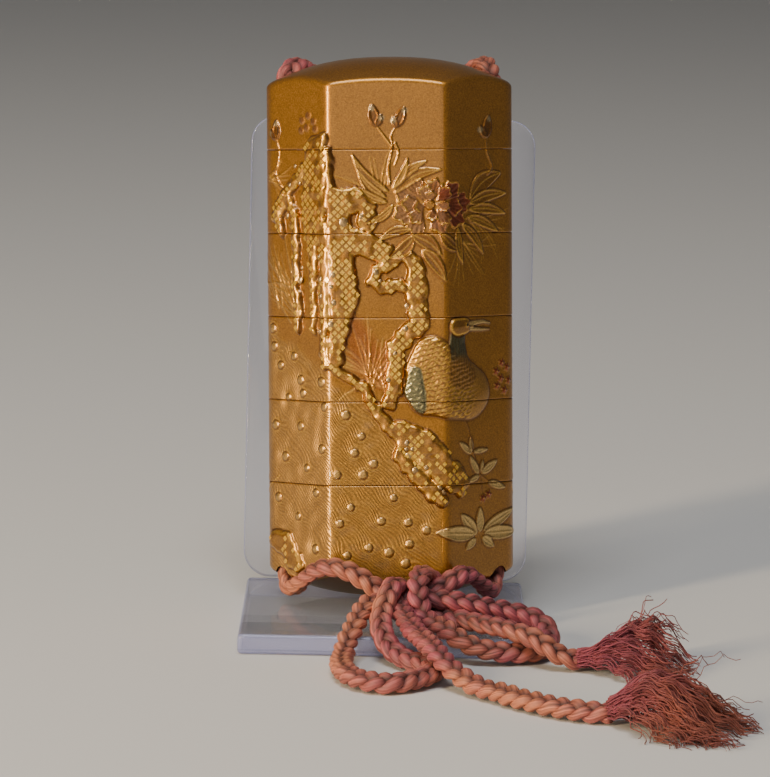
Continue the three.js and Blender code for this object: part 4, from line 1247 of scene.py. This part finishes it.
speckled = add_node(gold_lacquer, "ShaderNodeVectorMath", {0: dusted.outputs["Color"],
                    3: shade_by.outputs["Value"]}, operation="SCALE")
comb_value = add_node(gold_lacquer, "ShaderNodeAttribute", attribute_name="comb_place")
comb_period = 0.50
comb_turn = add_node(gold_lacquer, "ShaderNodeMath", {0: comb_value.outputs["Fac"],
                     1: 2 * math.pi / comb_period}, operation="MULTIPLY")
comb_wave = add_node(gold_lacquer, "ShaderNodeMath", {0: comb_turn.outputs["Value"]}, operation="SINE")
comb_mask = add_node(gold_lacquer, "ShaderNodeAttribute", attribute_name="combed")
comb_lines = add_node(gold_lacquer, "ShaderNodeMath", {0: comb_wave.outputs["Value"],
                      1: comb_mask.outputs["Fac"]}, operation="MULTIPLY")
comb_shade = add_node(gold_lacquer, "ShaderNodeMapRange", {"Value": comb_lines.outputs["Value"],
                      "From Min": -1.0, "From Max": 1.0, "To Min": 0.85, "To Max": 1.15})
lined = add_node(gold_lacquer, "ShaderNodeVectorMath", {0: speckled.outputs["Vector"],
                 3: comb_shade.outputs["Result"]}, operation="SCALE")
glossy = add_node(gold_lacquer, "ShaderNodeAttribute", attribute_name="gloss")
rubbed = add_node(gold_lacquer, "ShaderNodeMapRange", {"Value": glossy.outputs["Fac"], "From Min": 0.0,
                  "From Max": 1.0, "To Min": 0.28, "To Max": 0.20})
grain_rough = add_node(gold_lacquer, "ShaderNodeMath", {0: grain.outputs["Fac"], 1: 0.16,
                       2: rubbed.outputs["Result"]}, operation="MULTIPLY_ADD")
grain_bump = add_node(gold_lacquer, "ShaderNodeBump", {"Height": grain.outputs["Fac"], "Strength": 0.5,
                      "Distance": 0.03 * MM})
comb_bump = add_node(gold_lacquer, "ShaderNodeBump", {"Height": comb_lines.outputs["Value"], "Strength": 1.0,
                     "Distance": 0.018 * MM, "Normal": grain_bump.outputs["Normal"]})
feed(gold_lacquer, lacquer, Base_Color=lined.outputs["Vector"], Roughness=grain_rough.outputs["Value"],
     Normal=comb_bump.outputs["Normal"])

cutter = tunnel_cutter()
cases = [("case_bottom", bottom_case, (), 0.0, first_joint)]
for step, case_name in enumerate(("case_second", "case_third", "case_fourth", "case_top")):
    joint = first_joint + step * case_pitch
    cases.append((case_name, middle_case, (joint,), joint, joint + case_pitch))
cases.append(("lid", lid_piece, (), lid_joint, crest))
for case_name, shape, start_z, low_joint, high_joint in cases:
    case = shape(case_name + "_lacquered", *start_z)
    finish_case(case, low_joint, high_joint - hairline)
    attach(case, "root")
    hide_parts(case_name)
bpy.data.objects.remove(cutter)

# ==== The studio ====
# A plain pale floor that sweeps up behind into a plain pale backdrop, with soft lights.
bpy.ops.object.select_all(action="DESELECT")
bpy.ops.mesh.primitive_plane_add(size=1, location=(0, 0, 0))
floor = bpy.context.object
floor.name = floor.data.name = "studio_floor"
floor.scale = (8, 4, 1)
bpy.ops.object.transform_apply(location=True, rotation=True, scale=True)
bpy.ops.object.mode_set(mode="EDIT")
bpy.ops.mesh.select_mode(type="EDGE")
bpy.ops.mesh.select_all(action="DESELECT")
bpy.ops.object.mode_set(mode="OBJECT")
for edge in floor.data.edges:                       # the far edge, which the sweep starts from
    edge.select = all(floor.data.vertices[i].co.y > 1.9 for i in edge.vertices)
bpy.ops.object.mode_set(mode="EDIT")
sweep_steps, sweep_step, wall_height = 12, 0.13, 3.0
for step in range(sweep_steps):
    turn = math.radians(90 / sweep_steps * (step + 0.5))
    move = (0, sweep_step * math.cos(turn), sweep_step * math.sin(turn))
    bpy.ops.mesh.extrude_region_move(TRANSFORM_OT_translate={"value": move})
bpy.ops.mesh.extrude_region_move(TRANSFORM_OT_translate={"value": (0, 0, wall_height)})
bpy.ops.object.mode_set(mode="OBJECT")
bpy.ops.object.shade_smooth()
backdrop_paper, paper = new_material("matt_backdrop_paper")
paper.inputs["Base Color"].default_value = hex_colour("#c9c8c6")
paper.inputs["Roughness"].default_value = 0.9
floor.data.materials.append(backdrop_paper)

world = bpy.data.worlds.new("soft_surround")
bpy.context.scene.world = world
world.use_nodes = True
world.node_tree.nodes["Background"].inputs["Color"].default_value = hex_colour("#d8dade")
world.node_tree.nodes["Background"].inputs["Strength"].default_value = 0.19


def soft_light(name, place, aim, width, height, watts, colour):
    """A rectangular soft box that faces a point. Places and sizes are in metres."""
    light = bpy.data.lights.new(name, "AREA")
    light.shape, light.size, light.size_y = "RECTANGLE", width, height
    light.energy = watts
    light.color = hex_colour(colour)[:3]
    lamp = bpy.data.objects.new(name, light)
    lamp.location = place
    lamp.rotation_euler = (Vector(aim) - Vector(place)).to_track_quat("-Z", "Y").to_euler()
    bpy.context.collection.objects.link(lamp)


soft_light("key_light", (-0.62, -0.60, 0.20), (0, 0, 0.05), 0.07, 0.60, 14.5, "#ffe6bd")
soft_light("front_light", (-0.10, -1.30, 0.34), (0, 0, 0.05), 0.70, 0.40, 0.85, "#fff8ee")
soft_light("top_light", (-0.10, -0.50, 1.10), (0, 0, 0.0), 0.6, 0.5, 9.0, "#ffffff")
